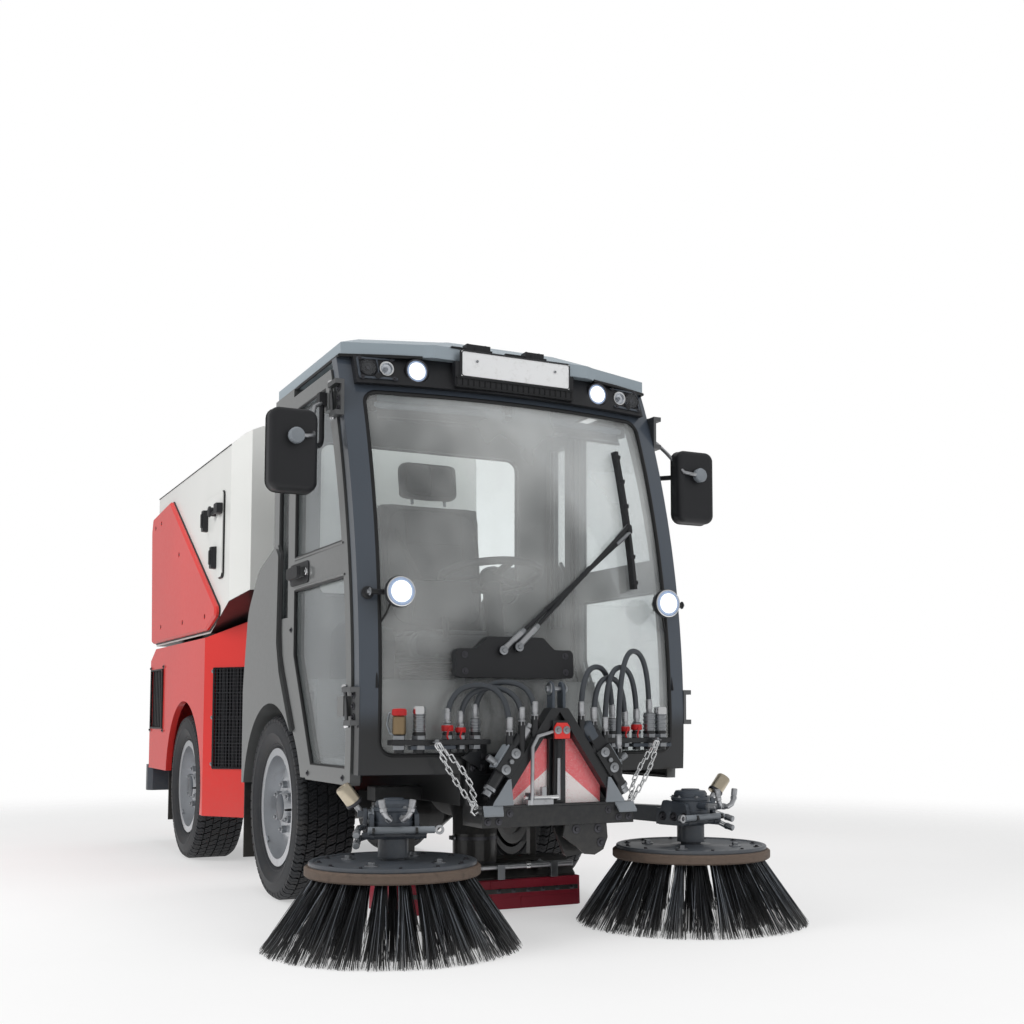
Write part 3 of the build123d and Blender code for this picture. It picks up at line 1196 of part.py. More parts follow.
def broom():
    """Rotary broom about its own centre: hub, drive plate, ring and flaring tufts of bristles."""
    top = BROOM_RING_Z + BROOM_RING_HEIGHT
    plate_radius = BROOM_RING_RADIUS - 12
    ring = revolve(Polygon(
        (0, top), (plate_radius, top), (BROOM_RING_RADIUS, top), (BROOM_RING_RADIUS, BROOM_RING_Z),
        (120, BROOM_RING_Z), (110, BROOM_RING_Z + 12), (0, BROOM_RING_Z + 12), align=None), Axis.Y)
    body = Rot(90, 0, 0) * ring
    body += Pos(0, 0, top + BROOM_PLATE / 2) * Cylinder(plate_radius, BROOM_PLATE)
    body += Pos(0, 0, top + BROOM_PLATE + 3.35) * Cylinder(34, 8.7)
    for i in range(4):
        body += Rot(0, 0, 45 + 90 * i) * Pos(150, 0, top + BROOM_PLATE) * Cylinder(14, 24)
    for root, tip, phase in TUFT_ROWS:
        for i in range(BROOM_TUFTS):
            body += Rot(0, 0, (i + phase) * 360 / BROOM_TUFTS) * tuft(root, tip)
    return body


def tuft(root, tip):
    """One tuft: narrow where it leaves the ring, fanned out at the ground."""
    share = math.tau / BROOM_TUFTS
    low = Plane((tip - 34, 0, 0), x_dir=(1, 0, 0), z_dir=(0, 0, 1)) * Rectangle(68, tip * share * 0.72)
    high = Plane((root - 12, 0, BROOM_RING_Z + 6), x_dir=(1, 0, 0), z_dir=(0, 0, 1))
    high *= Rectangle(24, root * share * 0.42)
    return loft([low, high])


def save_brooms():
    knuckle, arm, spun = broom_knuckle(), broom_arm(), Pos(ARM_REACH, 0, 0) * broom()
    for name, side in (("right", -1), ("left", 1)):
        save(f"broom_knuckle_{name}", at_kingpin(knuckle, side))
        save(f"broom_arm_{name}", at_kingpin(arm, side))
        save(f"broom_{name}", at_kingpin(spun, side))


def save_doors():
    leaf, glass, glassed_mirror = door(), door_glass(), door_mirror()
    for name, turned in (("left", lambda s: s), ("right", other_side)):
        save(f"door_{name}", turned(leaf))
        save(f"door_glass_{name}", *[turned(g) for g in glass])
        save(f"mirror_{name}", turned(glassed_mirror))
    hinges = door_hinges() - front_skin(0, 400, CAB_FLOOR, CAB_TOP, CAB_HALF_WIDTH)
    save("door_hinges", *both_sides(hinges))


def main():
    os.makedirs("parts", exist_ok=True)
    save_wheels()
    save("front_chassis", front_chassis())
    save("rear_chassis", rear_chassis())
    save("cab_frame", cab_frame())
    save("windscreen", windscreen())
    save("cab_floor", cab_floor())
    save("cab_back", cab_back())
    save("cab_quarters", *both_sides(cab_quarter()))
    save("cab_glass", *cab_glass())
    save("cab_roof", cab_roof())
    save("visor", visor())
    save("number_plate", number_plate())
    save("lamps", *lamps())
    save_doors()
    save("fenders", *both_sides(fender()))
    save("seat", seat())
    save("steering", steering())
    save("wiper", wiper())
    save("front_carrier", front_carrier())
    save("chevron_panels", *chevron_panels())
    save("hydraulic_rack", *hydraulic_rack())
    save("hoses", *hoses())
    save("suction_mouth", suction_mouth())
    save("mouth_flap", mouth_flap())
    save("suction_duct", suction_duct())
    save("front_mudflaps", *both_sides(mudflap(FENDER_REAR + FENDER_SKIN, FENDER_FOOT - 0.3, 120,
        FENDER_OUT - FENDER_SKIN)))
    save("side_panels", *both_sides(side_panel()))
    save("grilles", *grilles())
    save("rear_deck", rear_deck())
    save("tail_panel", tail_panel())
    save("tail_lamps", *tail_lamps())
    save("rear_bumper", rear_bumper())
    save("rear_mudflaps", *both_sides(mudflap(-2066, 470, 150, BODY_OUT - BODY_SKIN)))
    save("engine", engine())
    save("hopper_shell", hopper_shell())
    save("hopper_flap", hopper_flap())
    save("hopper_shields", *both_sides(shield()))
    save("hopper_hatches", *both_sides(hatch()))
    save_brooms()


main()
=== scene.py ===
"""Dressing of a compact articulated street sweeper: finishes, glass, tyres, brooms, hoses and trim."""

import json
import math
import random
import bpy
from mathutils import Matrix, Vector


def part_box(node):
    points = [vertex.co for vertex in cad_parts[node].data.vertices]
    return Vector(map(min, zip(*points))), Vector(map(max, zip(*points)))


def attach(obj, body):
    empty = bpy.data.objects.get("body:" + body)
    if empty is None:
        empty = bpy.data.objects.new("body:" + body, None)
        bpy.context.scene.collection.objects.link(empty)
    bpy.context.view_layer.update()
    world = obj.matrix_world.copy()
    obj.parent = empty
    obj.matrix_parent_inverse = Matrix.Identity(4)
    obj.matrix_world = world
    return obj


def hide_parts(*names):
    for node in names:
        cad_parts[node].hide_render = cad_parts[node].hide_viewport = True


bl_info = {
    "name": "Street Sweeper Dressing",
    "version": (1, 0, 0),
    "blender": (4, 5, 0),
    "location": "View3D > Sidebar > Sweeper",
    "description": "Finishes, tyres, brooms, glass, hoses and trim of a compact street sweeper",
    "category": "Object",
}

import bmesh
import bpy
from bpy.props import FloatProperty, FloatVectorProperty, IntProperty, PointerProperty
from mathutils import Matrix, Vector

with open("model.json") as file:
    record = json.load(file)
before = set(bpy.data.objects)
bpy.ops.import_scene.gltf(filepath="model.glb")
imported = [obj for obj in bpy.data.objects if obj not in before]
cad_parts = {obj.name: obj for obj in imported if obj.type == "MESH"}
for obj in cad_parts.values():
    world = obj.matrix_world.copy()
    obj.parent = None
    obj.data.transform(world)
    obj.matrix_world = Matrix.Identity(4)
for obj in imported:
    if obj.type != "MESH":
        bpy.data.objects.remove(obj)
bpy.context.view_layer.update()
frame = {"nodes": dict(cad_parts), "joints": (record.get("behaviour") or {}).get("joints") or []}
NODES = frame["nodes"]
JOINTS = {joint["name"]: joint for joint in frame["joints"]}
AXLE_X = JOINTS["spin_front_right"]["pos_m"][0]
SIDES = (("right", -1), ("left", 1))
WHEELS = [(f"{end}_{hand}", side) for end in ("front", "rear") for hand, side in SIDES]
AHEAD, BACK, UP = (1, 0, 0), (-1, 0, 0), (0, 0, 1)


def spot(ahead, out, up):
    """A point of the machine, given in millimetres ahead of the front axle, to the left, and up."""
    return Vector((AXLE_X + ahead / 1000, out / 1000, up / 1000))


def spots(points, side=1):
    """Such points by the list; side -1 mirrors them to the machine's right."""
    return [spot(ahead, side * out, up) for ahead, out, up in points]


def upright(points):
    """Pairs of ahead and up in millimetres, as x and z."""
    return [(AXLE_X + ahead / 1000, up / 1000) for ahead, up in points]


def carried(place, *points):
    """These points of the frame of place, as points of the machine."""
    return [place @ Vector(p) for p in points]


def linear(red, green, blue):
    """Colour as seen on a screen, 0 to 255, as the linear light that a shader works in."""
    return tuple((c / 255 / 12.92) if c <= 10 else ((c / 255 + 0.055) / 1.055) ** 2.4 for c in (red, green, blue))


def hue(colour):
    """The settings' colour of this name; a colour that is no name stays as it is."""
    return tuple(getattr(bpy.context.scene.sweeper_colours, colour)) if isinstance(colour, str) else colour


def tone(colour, share):
    return tuple(min(1.0, c * share) for c in hue(colour))


def circle(count, radius=1.0, start=0.0):
    """Points x, y evenly round a circle; the first stands at the angle start, in degrees."""
    turns = [math.radians(start) + math.tau * i / count for i in range(count)]
    return [(radius * math.cos(turn), radius * math.sin(turn)) for turn in turns]


def facing(point, axis, up=UP):
    """Place whose local Z runs along axis and whose local Y leans towards up."""
    z = Vector(axis).normalized()
    x = Vector(up).cross(z)
    if x.length < 1e-6:
        x = Vector((1, 0, 0)).cross(z) if abs(z.x) < 0.9 else Vector((0, 1, 0)).cross(z)
    x.normalize()
    y = z.cross(x)
    return Matrix.Translation(point) @ Matrix((x, y, z)).transposed().to_4x4()


def within(place, point, axis):
    """As facing, with the point and the axis given in the frame of place."""
    return facing(place @ Vector(point), place.to_3x3() @ Vector(axis))


# Settings


def shade(name, text, *screen):
    return FloatVectorProperty(name=name, description=text, subtype="COLOR", size=3, min=0, max=1,
                               default=linear(*screen))


def length(name, text, default, **limits):
    return FloatProperty(name=name, description=text, subtype="DISTANCE", unit="LENGTH", default=default, **limits)


class SweeperColours(bpy.types.PropertyGroup):
    """Colours of the machine's finishes."""

    red: shade("Red panels", "Paint of the engine unit and the hopper's shields", 222, 50, 45)
    white: shade("White hopper", "Paint of the hopper", 232, 233, 230)
    taupe: shade("Cab grey", "Paint of the cab, doors and mudguards", 98, 100, 100)
    slate: shade("Pillar slate", "Paint of the cab's front pillars", 66, 74, 84)
    roof: shade("Roof grey", "Moulded roof cap", 150, 162, 170)
    plastic: shade("Black plastic", "Grained mouldings", 27, 28, 31)
    steel: shade("Black steel", "Painted frame and carrier", 24, 26, 29)
    motor: shade("Machine grey", "Cast motor and pump housings", 62, 69, 78)
    rubber: shade("Rubber", "Hoses, seals and mudflaps", 20, 21, 23)
    mouth: shade("Mouth flap red", "Rubber flap round the suction mouth", 146, 14, 44)
    tyre: shade("Tyre", "Tyre rubber", 34, 36, 40)
    silver: shade("Wheel silver", "Painted steel wheels", 196, 199, 203)
    metal: shade("Bright metal", "Plated fittings, pins and bolts", 164, 167, 171)
    cloth: shade("Seat cloth", "Woven seat cover", 44, 46, 52)
    bristle: shade("Bristle", "Broom bristles", 23, 25, 29)
    ring: shade("Broom ring", "Pressed ring that holds the bristles", 102, 88, 78)
    tint: shade("Glass tint", "Colour of light seen through the windows", 252, 254, 254)
    dust: shade("Road dust", "Dust on low and ledged surfaces", 134, 128, 118)


class SweeperSizes(bpy.types.PropertyGroup):
    """Sizes of the pieces made here."""

    tread_depth: length("Tread depth", "Height of the tread blocks", 0.01, min=0.004, max=0.014)
    tread_pitches: IntProperty(name="Tread pitches", description="Tread blocks round one tyre", default=58, min=30,
                               max=90)
    strands: IntProperty(name="Strands", description="Bristles in one tuft", default=72, min=10, max=90)
    hose: length("Hose diameter", "Outside diameter of the hydraulic hoses", 0.018, min=0.008, max=0.04)
    seal: length("Window seal", "Width of the rubber round the glass", 0.012, min=0.004, max=0.03)
    edge: length("Edge radius", "Roundness of panel edges", 0.004, min=0.0005, max=0.02)


class SweeperStage(bpy.types.PropertyGroup):
    """Camera and light."""

    lens: FloatProperty(name="Lens", description="Focal length on a 36 mm sensor", subtype="DISTANCE_CAMERA",
                        default=45.472)
    eye: FloatVectorProperty(name="Eye", description="Camera place", subtype="TRANSLATION", unit="LENGTH", size=3,
                             default=(AXLE_X + 4.8538, -1.9265, 0.6959))
    heading: FloatProperty(name="Heading", description="Level direction of view, turned from straight back",
                           subtype="ANGLE", unit="ROTATION", default=math.radians(27.0394))
    tilt: FloatProperty(name="Tilt", description="Direction of view above the level", subtype="ANGLE", unit="ROTATION",
                        default=math.radians(4.4003))
    shift: FloatVectorProperty(name="Lens shift", description="Shift of the frame, as shares of its side", size=2,
                               default=(-0.03, 0.1))
    key: FloatProperty(name="Key light", description="Power of the big soft lamp on the machine's right", unit="POWER",
                       default=215)
    fill: FloatProperty(name="Fill light", description="Power of the soft lamp in front", unit="POWER", default=105)
    sky: FloatProperty(name="Sky light", description="Strength of the light from all round", default=0.4)


# Finishes


class Signal:
    """A value on its way through a finish; sums and products of signals add Math nodes to it."""

    def __init__(self, mix, socket):
        self.mix = mix
        self.socket = socket

    def __add__(self, other):
        return self.mix.sum("ADD", self, other)

    def __radd__(self, other):
        return self.mix.sum("ADD", other, self)

    def __sub__(self, other):
        return self.mix.sum("SUBTRACT", self, other)

    def __rsub__(self, other):
        return self.mix.sum("SUBTRACT", other, self)

    def __mul__(self, other):
        return self.mix.sum("MULTIPLY", self, other)

    def __rmul__(self, other):
        return self.mix.sum("MULTIPLY", other, self)

    def __abs__(self):
        return self.mix.sum("ABSOLUTE", self, 0.0)


class Finish:
    """One material, mixed node by node."""

    def __init__(self, name):
        self.material = bpy.data.materials.new(name)
        self.material.use_nodes = True
        self.tree = self.material.node_tree
        self.tree.nodes.clear()
        self.kept = {}

    def node(self, kind, settings=None, sockets=None):
        """A node of this type, its settings made first and its sockets then given values or links."""
        made = self.tree.nodes.new(kind)
        for name, value in (settings or {}).items():
            setattr(made, name, value)
        for key, value in (sockets or {}).items():
            socket = made.inputs[key]
            if isinstance(value, Signal):
                self.tree.links.new(value.socket, socket)
            elif socket.type == "RGBA":
                socket.default_value = (*hue(value)[:3], 1.0)
            else:
                socket.default_value = value
        return made

    def out(self, made, name=0):
        return Signal(self, made.outputs[name])

    def sum(self, operation, a, b):
        return self.out(self.node("ShaderNodeMath", {"operation": operation}, {0: a, 1: b}))

    def once(self, key, make):
        if key not in self.kept:
            self.kept[key] = make()
        return self.kept[key]

    def place(self):
        return self.once("place", lambda: self.out(self.node("ShaderNodeTexCoord"), "Object"))

    def axis(self, index):
        parts = self.once("parts", lambda: self.node("ShaderNodeSeparateXYZ", None, {0: self.place()}))
        return self.out(parts, index)

    def stretched(self, scale):
        return self.out(self.node("ShaderNodeVectorMath", {"operation": "MULTIPLY"}, {0: self.place(), 1: scale}))

    def noise(self, scale, detail=3.0, rough=0.5, stretch=None):
        at = self.stretched(stretch) if stretch else self.place()
        return self.out(self.node("ShaderNodeTexNoise", None,
                                  {"Vector": at, "Scale": scale, "Detail": detail, "Roughness": rough}))

    def cells(self, scale, feature="F1"):
        made = self.node("ShaderNodeTexVoronoi", {"feature": feature}, {"Vector": self.place(), "Scale": scale})
        return self.out(made, "Distance")

    def wave(self, scale, direction, distortion=0.0):
        return self.out(self.node("ShaderNodeTexWave", {"bands_direction": direction},
                                  {"Vector": self.place(), "Scale": scale, "Distortion": distortion}), 1)

    def step(self, value, low, high):
        """0 below low, 1 above high, smooth between; low may be the larger one."""
        return self.out(self.node("ShaderNodeMapRange", {"interpolation_type": "SMOOTHSTEP"},
                                  {0: value, 1: low, 2: high}))

    def blend(self, share, a, b):
        made = self.node("ShaderNodeMix", {"data_type": "RGBA"}, {0: share, 6: a, 7: b})
        return self.out(made, 2)

    def rounded(self, radius):
        """Normal as if panel edges were rounded."""
        made = self.node("ShaderNodeBevel", {"samples": 4}, {"Radius": radius})
        return self.out(made)

    def edge(self, radius):
        """1 on edges, 0 on open faces."""
        soft = self.rounded(radius)
        plain = self.out(self.node("ShaderNodeNewGeometry"), "Normal")
        dot = self.out(self.node("ShaderNodeVectorMath", {"operation": "DOT_PRODUCT"}, {0: soft, 1: plain}), "Value")
        return self.step(dot, 0.995, 0.9)

    def bump(self, height, depth, normal=None):
        sockets = {"Height": height, "Distance": depth, "Strength": 1.0}
        if normal:
            sockets["Normal"] = normal
        return self.out(self.node("ShaderNodeBump", None, sockets))

    def surface(self, sockets):
        """Ends the material in a Principled surface with these sockets."""
        return self.end(self.out(self.node("ShaderNodeBsdfPrincipled", None, sockets)))

    def end(self, shader):
        self.node("ShaderNodeOutputMaterial", None, {"Surface": shader})
        return self.material


def sizes():
    return bpy.context.scene.sweeper_sizes


def painted(name, colour, gloss, coat, grime=0.5, peel=0.00006, thin=False, below=None, under=None):
    """Sprayed paint: slow drift of tone, orange peel, edges drawn paler (partly wear, partly a painted highlight) and
    dust low down.

    Thin sheets get tighter edges. Below is a height and the colour that the paint falls to there; under is the
    colour painted on faces that look down, a painted shade.
    """
    f = Finish(name)
    cloud, fleck = f.noise(1.7, 2.0), f.noise(46.0, 5.0, 0.65)
    low = f.step(f.axis(2), 0.75, 0.1)
    dust = f.step(fleck * 0.5 + cloud * 0.45 + low * 0.45, 0.66, 1.05) * grime
    edge = f.edge(0.001 if thin else 0.003)
    base = f.blend(cloud, tone(colour, 0.9), tone(colour, 1.07))
    if below:
        base = f.blend(f.step(f.axis(2), below[0] + 0.05, below[0] - 0.05), base, below[1])
    # painted highlight, partly wear: edges are drawn paler in the paint's own colour, mottled by fleck
    base = f.blend(edge * fleck * 0.5, base, tone(colour, 1.5))
    base = f.blend(dust, base, "dust")
    # painted shade: faces that look down are drawn in the under colour
    if under:
        way = f.out(f.node("ShaderNodeNewGeometry"), "True Normal")
        down = f.out(f.node("ShaderNodeSeparateXYZ", None, {0: way}), 2)
        base = f.blend(f.step(down, -0.2, -0.3), base, under)
    normal = f.bump(f.noise(260.0, 1.0), peel, f.rounded(sizes().edge * (0.25 if thin else 1.0)))
    return f.surface({"Base Color": base, "Roughness": gloss + fleck * 0.1 + dust * 0.35,
                      "Coat Weight": coat * (1 - dust), "Coat Roughness": 0.08, "Normal": normal})


def moulded(name, colour, rough, grain, grime=0.5, scale=620.0):
    """Grained plastic or rubber: fine pebble, edges drawn paler as a painted highlight, dust."""
    f = Finish(name)
    cloud, pebble = f.noise(5.0, 3.0), f.cells(scale)
    low = f.step(f.axis(2), 0.7, 0.05)
    dust = f.step(f.noise(38.0, 5.0, 0.7) * 0.6 + cloud * 0.4 + low * 0.5, 0.66, 1.05) * grime
    base = f.blend(cloud, tone(colour, 0.78), tone(colour, 1.3))
    # painted highlight: all edges are drawn paler
    base = f.blend(f.edge(0.002) * 0.45, base, tone(colour, 2.6))
    base = f.blend(dust * 0.55, base, "dust")
    normal = f.bump(pebble, grain, f.rounded(0.0025))
    return f.surface({"Base Color": base, "Roughness": rough + cloud * 0.12 + dust * 0.2, "Normal": normal})


def metal(name, colour, rough, brushed=(1, 1, 1), stain=0.35):
    """Plated or bare metal: drawn grain and darker smudges."""
    f = Finish(name)
    grain = f.noise(240.0, 2.0, 0.6, brushed)
    smudge = f.noise(24.0, 5.0, 0.65)
    mark = f.step(smudge, 0.48, 0.72) * stain
    base = f.blend(mark, colour, tone(colour, 0.45))
    return f.surface({"Base Color": base, "Metallic": 1.0 - mark * 0.3, "Roughness": rough + smudge * 0.16 + mark * 0.2,
                      "Normal": f.bump(grain, 0.00004, f.rounded(0.0015))})


def wheel_silver(name):
    """Silver lacquer on a steel wheel with patches of brake dust; the rim's inner side, in the dish, is drawn dark and
    dull as painted shade.
    """
    f = Finish(name)
    fleck, cloud = f.cells(900.0), f.noise(16.0, 5.0, 0.65)
    dust = f.step(cloud, 0.5, 0.78) * 0.25
    base = f.blend(fleck, tone("silver", 0.86), tone("silver", 1.1))
    base = f.blend(dust, base, tone("dust", 0.6))
    # painted shade: the rim's inner side, towards the middle of the machine, is drawn dark, dull and less metallic
    inner = f.step(abs(f.axis(1)), 0.475, 0.455)
    base = f.blend(inner, base, tone("steel", 0.8))
    return f.surface({"Base Color": base, "Metallic": (0.75 - dust * 0.5) * (1 - inner),
                      "Roughness": 0.3 + cloud * 0.16 + inner * 0.3, "Coat Weight": 0.4,
                      "Normal": f.bump(fleck, 0.00002, f.rounded(0.003))})


def window_glass(name, tint, gloss=0.01, film=0.07):
    """Thin tinted glass: clear straight on, mirror-like at a slant, with a film of dust; a thick film is also painted
    glare.
    """
    f = Finish(name)
    film_share = f.step(f.noise(1.6, 3.0, 0.6), 0.15, 0.85) * film
    clear = f.out(f.node("ShaderNodeBsdfTransparent", None, {"Color": tint}))
    shine = f.out(f.node("ShaderNodeBsdfGlossy", None, {"Color": (0.95, 0.97, 1.0), "Roughness": 0.02}))
    # veil: a film of dust, and where the film is thick a painted glare
    veil = f.out(f.node("ShaderNodeBsdfDiffuse", None, {"Color": (0.92, 0.93, 0.92)}))
    slant = f.out(f.node("ShaderNodeLayerWeight", None, {"Blend": 0.35}), "Fresnel")
    body = f.out(f.node("ShaderNodeMixShader", None, {0: slant * 0.4 + gloss, 1: clear, 2: shine}))
    return f.end(f.out(f.node("ShaderNodeMixShader", None, {0: film_share, 1: body, 2: veil})))


def ribbed_lens(name, colour, strength, ribs=260.0):
    """Moulded lens with prism ribs and a faint glow."""
    f = Finish(name)
    rib = f.wave(ribs, "Y")
    cross = f.wave(ribs, "Z")
    base = f.blend(rib * 0.5, colour, tone(colour, 0.6))
    return f.surface({"Base Color": base, "Roughness": 0.12 + cross * 0.08, "Normal": f.bump(rib + cross, 0.0006),
                      "Emission Color": base, "Emission Strength": strength, "Coat Weight": 0.8})


def lit_lamp(name):
    """White heart of a lamp that is switched on."""
    f = Finish(name)
    glow = f.noise(40.0, 2.0)
    base = f.blend(glow, (0.86, 0.92, 1.0), (1.0, 1.0, 1.0))
    return f.surface({"Base Color": base, "Roughness": 0.1 + glow * 0.05, "Emission Color": base,
                      "Emission Strength": 1.1})


def warning_stripes(name):
    """Reflective panel: red bands that fall outward from the middle, white between them, honeycomb film."""
    f = Finish(name)
    run = f.axis(2) + abs(f.axis(1)) * 0.8
    band = f.step(run, 0.543, 0.545) * f.step(run, 0.669, 0.667)
    comb = f.cells(330.0, "DISTANCE_TO_EDGE")
    cell = f.step(comb, 0.02, 0.09)
    base = f.blend(band, (0.88, 0.88, 0.87), linear(230, 74, 84))
    base = f.blend(cell, linear(226, 178, 178), base)
    grime = f.step(f.noise(30.0, 5.0, 0.7), 0.56, 0.8) * 0.08
    base = f.blend(grime, base, "dust")
    return f.surface({"Base Color": base, "Roughness": 0.28 + grime * 0.5, "Normal": f.bump(cell, 0.00008),
                      "Coat Weight": 0.5})


def blank_plate(name):
    """Blank pressed plate: white reflective film with a raised dark rim."""
    f = Finish(name)
    grime = f.step(f.noise(34.0, 5.0, 0.7), 0.52, 0.8) * 0.25
    base = f.blend(grime, (0.83, 0.84, 0.85), "dust")
    return f.surface({"Base Color": base, "Roughness": 0.3 + grime,
                      "Normal": f.bump(f.cells(700.0), 0.00005, f.rounded(0.002))})


def woven(name, colour):
    """Plain weave of warp and weft threads with a woolly fuzz."""
    f = Finish(name)
    warp, weft = f.wave(180.0, "Y", 0.6), f.wave(180.0, "Z", 0.6)
    fuzz = f.noise(700.0, 2.0)
    thread = warp * weft
    base = f.blend(thread, tone(colour, 0.6), tone(colour, 1.6))
    base = f.blend(f.noise(9.0, 4.0) * 0.4, base, tone(colour, 0.7))
    return f.surface({"Base Color": base, "Roughness": 0.86 + fuzz * 0.1, "Sheen Weight": 0.35,
                      "Normal": f.bump(thread + fuzz * 0.4, 0.0008)})


def tyre_compound(name):
    """Tyre rubber: fine moulding lines on the flank, dusty worn tread."""
    f = Finish(name)
    cloud, grit = f.noise(13.0, 4.0, 0.6), f.noise(230.0, 3.0, 0.7)
    dust = f.step(cloud * 0.6 + grit * 0.5, 0.52, 0.86) * 0.4
    base = f.blend(grit, tone("tyre", 0.7), tone("tyre", 1.35))
    base = f.blend(dust, base, tone("dust", 0.55))
    return f.surface({"Base Color": base, "Roughness": 0.52 + dust * 0.4 + grit * 0.1,
                      "Normal": f.bump(grit, 0.00025, f.rounded(0.0015))})


def bristle_strand(name):
    """Bristle of drawn nylon: near black with pale strands that are painted highlights, lighter at the tips."""
    f = Finish(name)
    tint = f.out(f.node("ShaderNodeAttribute", {"attribute_name": "tint"}), "Fac")
    tip = f.step(f.axis(2), 0.12, 0.0)
    # painted highlight: strands with a high tint are drawn pale grey
    base = f.blend(f.step(tint, 0.3, 0.85), tone("bristle", 0.75), linear(132, 138, 146))
    base = f.blend(tip * tint * 0.5, base, "dust")
    return f.surface({"Base Color": base, "Roughness": 0.34 + tint * 0.22,
                      "Normal": f.bump(f.noise(320.0, 1.0), 0.0003)})


def broom_ring(name):
    """Pressed fibre ring: layered edge, scuffed and dusty."""
    f = Finish(name)
    layer = f.noise(60.0, 5.0, 0.7, (1, 1, 9))
    scuff = f.step(f.noise(28.0, 5.0, 0.7), 0.5, 0.75)
    base = f.blend(layer, tone("ring", 0.55), tone("ring", 1.35))
    base = f.blend(scuff * 0.45, base, tone("steel", 1.4))
    return f.surface({"Base Color": base, "Roughness": 0.6 + layer * 0.25,
                      "Normal": f.bump(layer, 0.001, f.rounded(0.003))})


def cap(name, screen):
    return moulded(name, linear(*screen), 0.4, 0.0001, 0.25)


def soft_seal(name):
    return moulded(name, tone("rubber", 0.8), 0.36, 0.00006, 0.25)


RECIPES = {       # how each finish is made, and the values for that
    "red_paint": (painted, "red", 0.32, 0.3, 0.1),
    # the white paint's downward faces are drawn in rubber black, a painted shade
    "white_paint": (painted, "white", 0.34, 0.3, 0.08, {"under": "rubber"}),
    "taupe_paint": (painted, "taupe", 0.3, 0.6, 0.06, 0.00002, True),
    "roof_grey": (painted, "roof", 0.42, 0.25, 0.1, 0.00012),
    "black_plastic": (moulded, "plastic", 0.42, 0.00022, 0.2),
    "frame_steel": (painted, "steel", 0.36, 0.35, 0.12, 0.00012),
    "dark_grey": (painted, "motor", 0.4, 0.25, 0.15, 0.00025),
    "slate_paint": (painted, "slate", 0.3, 0.6, 0.06, {"below": (0.68, "steel")}),
    "rubber": (moulded, "rubber", 0.55, 0.00012, 0.25),
    "hose_cover": (moulded, linear(58, 62, 67), 0.42, 0.0001, 0.1),
    "red_rubber": (moulded, "mouth", 0.4, 0.0002, 0.08, 300.0),
    "tyre_rubber": (tyre_compound,),
    "rim_silver": (wheel_silver,),
    "glass": (window_glass, "tint"),
    # the windscreen's thick film is partly dust, partly a milky veil of painted glare
    "screen_glass": (window_glass, "tint", 0.01, 0.34),
    "lamp_lens": (ribbed_lens, (0.8, 0.84, 0.88), 0.25),
    "tail_lens": (ribbed_lens, linear(176, 18, 20), 0.12, 180.0),
    "plate_white": (blank_plate,),
    "chevron": (warning_stripes,),
    "fittings": (metal, "metal", 0.28),
    "seat_cloth": (woven, "cloth"),
    "bristle": (bristle_strand,),
    "broom_ring": (broom_ring,),
    "chrome": (metal, (0.86, 0.87, 0.88), 0.08, (1, 1, 1), 0.15),
    "drawn_steel": (metal, (0.52, 0.53, 0.55), 0.3, (1, 1, 14), 0.5),
    "champagne": (metal, (0.6, 0.53, 0.41), 0.22, (1, 1, 1), 0.15),
    "worn_steel": (metal, (0.2, 0.205, 0.21), 0.38),
    "bronze": (metal, (0.34, 0.25, 0.15), 0.34),
    "black_bolt": (metal, (0.09, 0.09, 0.1), 0.34, (1, 1, 1), 0.3),
    "mirror_face": (metal, (0.8, 0.84, 0.88), 0.02, (1, 1, 1), 0.05),
    "lit_lamp": (lit_lamp,),
    "lit_rim": (ribbed_lens, (0.52, 0.66, 0.92), 0.34, 420.0),
    "red_cap": (cap, (178, 30, 32)),
    "grey_cap": (cap, (126, 132, 138)),
    "clear_lens": (window_glass, (0.95, 0.97, 1.0), 0.05, 0.02),
    "seal": (soft_seal,),
}


def finish(name):
    """The named finish, made the first time that it is asked for."""
    recipe, *values = RECIPES[name]
    named = values.pop() if values and isinstance(values[-1], dict) else {}
    return bpy.data.materials.get(name + "_finish") or recipe(name + "_finish", *values, **named)


# Mesh making


def linked(name, data):
    """A new object of this data, in the scene."""
    made = bpy.data.objects.new(name, data)
    bpy.context.scene.collection.objects.link(made)
    return made


BEVEL_STEPS, BEVEL_ANGLE = 2, math.radians(40)     # rounding of edges that bend by more than this
TUBE_SIDES = 10      # with fewer, the rounding of edges also catches a tube's long lines


def grid_faces(rows, wide, closed=False):
    """Four-cornered faces over rows of points, wide to a row; closed rows join end to end."""
    return [(i * wide + k, i * wide + (k + 1) % wide, (i + 1) * wide + (k + 1) % wide, (i + 1) * wide + k)
            for i in range(rows - 1) for k in range(wide if closed else wide - 1)]


